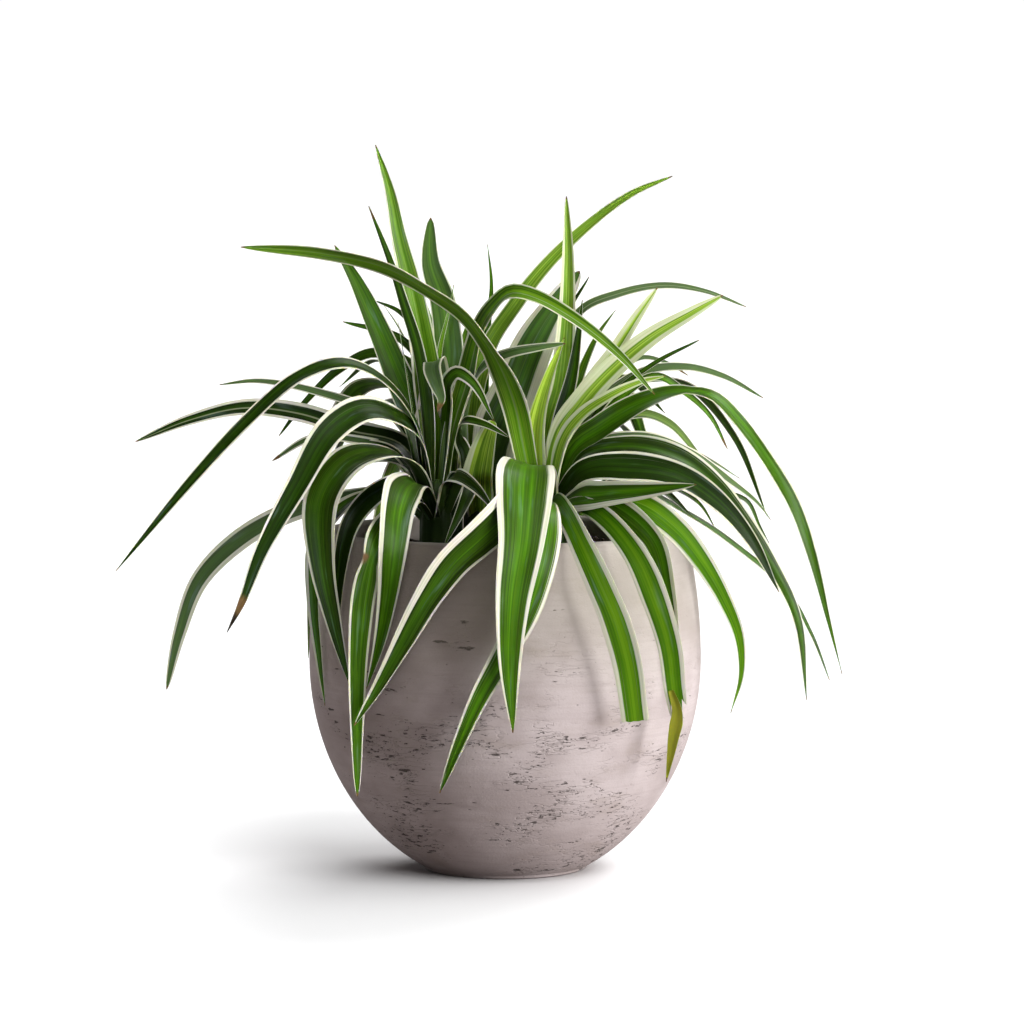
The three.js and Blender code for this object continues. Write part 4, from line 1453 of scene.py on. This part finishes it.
        faces = np.vstack([faces, caps[:, ::-1], caps + (rows - 1) * self.sides])
        # How low on the wall: it brings in the pits and fades out the painted olive leaf light.
        lower = np.clip((self.wear_and_leaf_light_edge - height) / self.wear_and_leaf_light_blend, 0, 1)
        # Painted shade: the rows inside the pot, past the lip's outer rows, are marked for darkening.
        within = (row > lip_row + self.lip_rows_unshaded) + 0 * turn
        shell = Shell()
        shell.add(
            points.reshape(-1, 3) * MM,
            faces,
            pot_mark=np.column_stack([chip.ravel(), lower.ravel(), within.ravel()]),
        )
        piece = shell.piece("pot_shell", finish, 70.0)
        settle(piece, "pot", "pot")
        return piece


@dataclass
class Soil:
    """The soil in the pot and the loose crumbs on it, in millimetres.

    Args:
        pot: The pot that it fills.
        level: How high its surface is.
        bumps: How high the slow waves of the surface are.
        clearance: How far it stays clear of the pot.
        sides: How many points the mesh has round it.
        rings: How many rings of points the surface has.
        crumbs: How many crumbs lie on it.
        seed: Where their random draws start.
    """

    pot: Pot
    level: float = 161.0
    bumps: float = 2.2
    clearance: float = 0.3
    sides: int = 160
    rings: int = 44
    crumbs: int = 1100
    seed: int = 17

    def height(self, x: np.ndarray, y: np.ndarray) -> np.ndarray:
        """Gives the height of the soil's surface."""
        wave = np.sin(0.11 * x + 1.3) * np.cos(0.13 * y) + 0.6 * np.sin(0.27 * x - 0.2 * y)
        return self.level + self.bumps * wave

    def rough_height(self, x: float, y: float) -> float:
        """Gives the surface's height with its clods.

        Args:
            x: How far to the right.
            y: How far back.

        Returns:
            The height.
        """
        clod = noise.noise(Vector((x * 0.16, y * 0.16, 0.0)))
        clod += 0.5 * noise.noise(Vector((x * 0.5, y * 0.5, 3.0)))
        return float(self.height(np.array(x), np.array(y))) + 1.3 * clod

    def build(self, finish: bpy.types.Material) -> list[bpy.types.Object]:
        """Builds the soil's bed and its crumbs.

        Args:
            finish: The soil material.

        Returns:
            Both pieces.
        """
        inset = self.pot.wall + self.clearance
        floor = self.pot.floor + self.clearance
        wall = np.linspace(floor, self.level, 14)
        edge = float(self.pot.radius(np.array(self.level), inset))
        top = edge * np.linspace(0.99, 0.02, self.rings)
        radii = np.concatenate([[2.0], self.pot.radius(wall, inset), top])
        heights = np.concatenate([[floor], wall, np.full(self.rings, self.level)])
        turn = np.linspace(0, 2 * math.pi, self.sides, endpoint=False)
        rows = []
        for row, (radius, height) in enumerate(zip(radii, heights)):
            level = np.full(self.sides, height)
            ring = np.column_stack([radius * np.cos(turn), radius * np.sin(turn), level])
            if row > len(wall):
                settled = min(1.0, (edge - radius) / 3)
                for point in ring:
                    rough = self.rough_height(point[0], point[1])
                    point[2] = self.level + settled * (rough - self.level)
            rows.append(ring)
        points = np.vstack(rows)
        faces = ring_faces(len(rows), self.sides)
        caps = disc_faces(self.sides)
        faces = np.vstack([faces, caps[:, ::-1], caps + (len(rows) - 1) * self.sides])
        bed = Shell()
        bed.add(points * MM, faces)
        piece = bed.piece("soil_bed", finish, 180.0)
        settle(piece, "soil", "soil")
        return [piece, self.scatter(finish, edge - 3.5)]

    def scatter(self, finish: bpy.types.Material, edge: float) -> bpy.types.Object:
        """Scatters crumbs over the bed.

        Args:
            finish: The soil material.
            edge: How far out the crumbs lie.

        Returns:
            The crumbs.
        """
        vary = draws(self.seed)
        levels = np.radians([-60.0, -20.0, 20.0, 60.0])
        turn = np.linspace(0, 2 * math.pi, 8, endpoint=False)
        loose = Shell()
        faces = np.vstack([
            ring_faces(len(levels), 8), disc_faces(8)[:, ::-1], disc_faces(8) + (len(levels) - 1) * 8,
        ])
        for _ in range(self.crumbs):
            out = edge * math.sqrt(0.5 + vary(0.5))
            angle = vary(math.pi)
            size = 0.7 + 1.5 * (0.5 + vary(0.5)) ** 3
            spin = vary(math.pi)
            flat = 0.7 + vary(0.25)
            x, y = out * math.cos(angle), out * math.sin(angle)
            lump = 1 + 0.22 * np.sin(3 * turn[None, :] + 2 * levels[:, None] + spin)
            radius = size * np.cos(levels)[:, None] * lump
            ring = np.stack([
                radius * np.cos(turn + spin), 0.8 * radius * np.sin(turn + spin),
                flat * size * np.sin(levels)[:, None] + 0 * turn[None, :],
            ], -1).reshape(-1, 3)
            place = np.array([x, y, self.rough_height(x, y) + 0.35 * size])
            loose.add((ring + place) * MM, faces)
        piece = loose.piece("soil_crumbs", finish, 180.0)
        settle(piece, "soil")
        return piece


ROSETTES = (
    Rosette("rosette_left", (-35, -12), LEFT_LEAVES, 3),
    Rosette("rosette_right", (19.5, -22), RIGHT_LEAVES, 7, painted_root_shade=0.12),
    Rosette("rosette_middle", (-13, 20), MIDDLE_LEAVES, 13),
    Rosette("rosette_back_left", (-30, 38), BACK_LEFT_LEAVES, 19, Fan(64, 156, 13, 11)),
    Rosette("rosette_back_right", (24, 34), BACK_RIGHT_LEAVES, 23, Fan(24, 116, 13, 29), 0.3),
)


# ---- Studio ----


@dataclass(frozen=True)
class Lamp:
    """A far, soft light.

    Args:
        name: What it is called.
        azimuth: Its direction round the plant, in degrees. 0 is in front, and 90 is to the right.
        elevation: Its direction above the floor, in degrees.
        strength: How strong it is.
        softness: How wide it looks from the plant, in degrees.
        colour: Its colour.
    """

    name: str
    azimuth: float
    elevation: float
    strength: float
    softness: float
    colour: Point = (1.0, 1.0, 1.0)

    def build(self, receivers: bpy.types.Collection, blockers: bpy.types.Collection | None) -> None:
        """Adds the lamp.

        Args:
            receivers: What it lights.
            blockers: What casts its shadows, or None for everything.
        """
        light = bpy.data.lights.new(self.name, "SUN")
        light.energy = self.strength
        light.angle = math.radians(self.softness)
        light.color = self.colour
        lamp = bpy.data.objects.new(self.name, light)
        around, above = math.radians(self.azimuth), math.radians(self.elevation)
        source = Vector((
            math.sin(around) * math.cos(above), -math.cos(around) * math.cos(above), math.sin(above),
        ))
        lamp.rotation_mode = "QUATERNION"
        lamp.rotation_quaternion = source.to_track_quat("Z", "Y")
        lamp.location = source
        bpy.context.scene.collection.objects.link(lamp)
        lamp.light_linking.receiver_collection = receivers
        lamp.light_linking.blocker_collection = blockers


@dataclass
class Studio:
    """A white floor and background, with soft lights that come mostly from the right.

    Args:
        camera_place: Where the camera stands, in metres.
        camera_aim_height: How high the point is that it looks at, above the middle of the foot.
        lens: Its focal length in millimetres.
        floor_size: How wide the floor is, in metres.
        floor_colour: What colour the camera sees it in.
        floor_bounce: What colour it throws back on the plant.
        backdrop: How bright the camera sees the background.
        ambient: How bright it is to the plant.
        plant_lamps: The lamps that light the whole plant.
        leaf_lamps: The lamps that light all but the pot.
        pot_lamps: The lamp that lights the pot alone.
        floor_lamps: The lamps that light the floor, where the pot throws its shadow.
    """

    camera_place: Point = (0.00357, -2.2, 0.36)
    camera_aim_height: float = 0.1824
    lens: float = 152.2
    floor_size: float = 60.0
    floor_colour: Point = (0.9, 0.9, 0.905)
    floor_bounce: Point = (0.28, 0.25, 0.24)
    backdrop: float = 1.02
    ambient: float = 0.07
    plant_lamps: tuple[Lamp, ...] = (
        Lamp("key", 64, 14, 3.7, 28, (1.0, 0.985, 0.97)),
        Lamp("back", 128, 50, 1.5, 30, (1.0, 1.0, 0.98)),
        Lamp("rear", 212, 20, 0.8, 40, (1.0, 1.0, 1.0)),
    )
    leaf_lamps: tuple[Lamp, ...] = (
        Lamp("leaf_key", 40, 22, 1.42, 20, (1.0, 1.0, 0.97)),
        Lamp("top", 20, 58, 0.8, 30, (1.0, 1.0, 0.98)),
        Lamp("window", -22, 8, 0.55, 9, (0.78, 0.9, 1.0)),
    )
    pot_lamps: tuple[Lamp, ...] = (
        Lamp("pot_fill", -30, 10, 0.06, 60, (1.0, 0.84, 0.72)),
    )
    floor_lamps: tuple[Lamp, ...] = (
        Lamp("floor_front", 30, 38, 2.5, 44),
        Lamp("floor_back", 156, 32, 2.9, 44),
        Lamp("floor_side", 88, 58, 1.5, 56),
        Lamp("floor_top", 0, 90, 0.2, 70),
    )

    def build_camera(self) -> None:
        """Builds the camera at the photograph's angle."""
        scene = bpy.context.scene
        camera = bpy.data.objects.new("camera", bpy.data.cameras.new("camera"))
        scene.collection.objects.link(camera)
        camera.location = self.camera_place
        drop = self.camera_place[2] - self.camera_aim_height
        pitch = math.atan2(drop, -self.camera_place[1])
        camera.rotation_euler = Euler((math.pi / 2 - pitch, 0.0, 0.0))
        camera.data.lens = self.lens
        camera.data.sensor_width = 36.0
        scene.camera = camera

    def build_floor(self) -> bpy.types.Object:
        """Builds the floor, which is white to look at and throws little light back.

        Returns:
            The floor.
        """
        half = self.floor_size / 2
        corners = [(-half, -half, 0.0), (half, -half, 0.0), (half, half, 0.0), (-half, half, 0.0)]
        mesh = bpy.data.meshes.new("floor")
        mesh.from_pydata(corners, [], [(0, 1, 2, 3)])
        made, g = material("floor_white")
        seen = g.add("LightPath").outputs["Is Camera Ray"]
        colour = g.mix(seen, (*self.floor_bounce, 1.0), (*self.floor_colour, 1.0))
        shader = g.add("BsdfPrincipled", {"Base Color": colour, "Roughness": 1.0, "Specular IOR Level": 0.0})
        g.add("OutputMaterial", {0: shader.outputs[0]})
        mesh.materials.append(made)
        floor = bpy.data.objects.new("floor", mesh)
        bpy.context.scene.collection.objects.link(floor)
        return floor

    def build_surround(self) -> None:
        """Builds the background, which is white to look at and gives a low, even light."""
        scene = bpy.context.scene
        world = bpy.data.worlds.new("studio")
        world.use_nodes = True
        scene.world = world
        g = Graph(world.node_tree)
        seen = g.add("LightPath").outputs["Is Camera Ray"]
        strength = g.ease(seen, 0.0, 1.0, self.ambient, self.backdrop)
        surround = g.add("Background", {"Color": (1.0, 1.0, 1.0, 1.0), "Strength": strength})
        g.add("OutputWorld", {0: surround.outputs[0]})
        scene.view_settings.view_transform = "Standard"

    def build(self, pieces: Sequence[bpy.types.Object]) -> None:
        """Builds the camera, the floor, the lights and the background.

        Args:
            pieces: The plant's pieces, the pot first.
        """
        self.build_camera()
        floor = self.build_floor()
        parts = {"plant": pieces, "pot": pieces[:1], "leaves": pieces[1:], "floor": [floor]}
        groups = {name: bpy.data.collections.new(name) for name in parts}
        for name, members in parts.items():
            for member in members:
                groups[name].objects.link(member)
        for lamp in self.plant_lamps:
            lamp.build(groups["plant"], None)
        for lamp in self.pot_lamps:
            lamp.build(groups["pot"], None)
        for lamp in self.leaf_lamps:
            lamp.build(groups["leaves"], None)
        for lamp in self.floor_lamps:
            lamp.build(groups["floor"], groups["pot"])
        self.build_surround()


def main() -> None:
    """Builds the studio and the plant."""
    logging.basicConfig(level=logging.INFO, format="%(message)s")
    pot = Pot()
    pieces = [pot.build(PotFinish().build()), *Soil(pot).build(SoilFinish().build())]
    leaf = LeafFinish().build()
    pieces += [rosette.build(leaf) for rosette in ROSETTES]
    Studio().build(pieces)


if __name__ == "__main__":
    main()
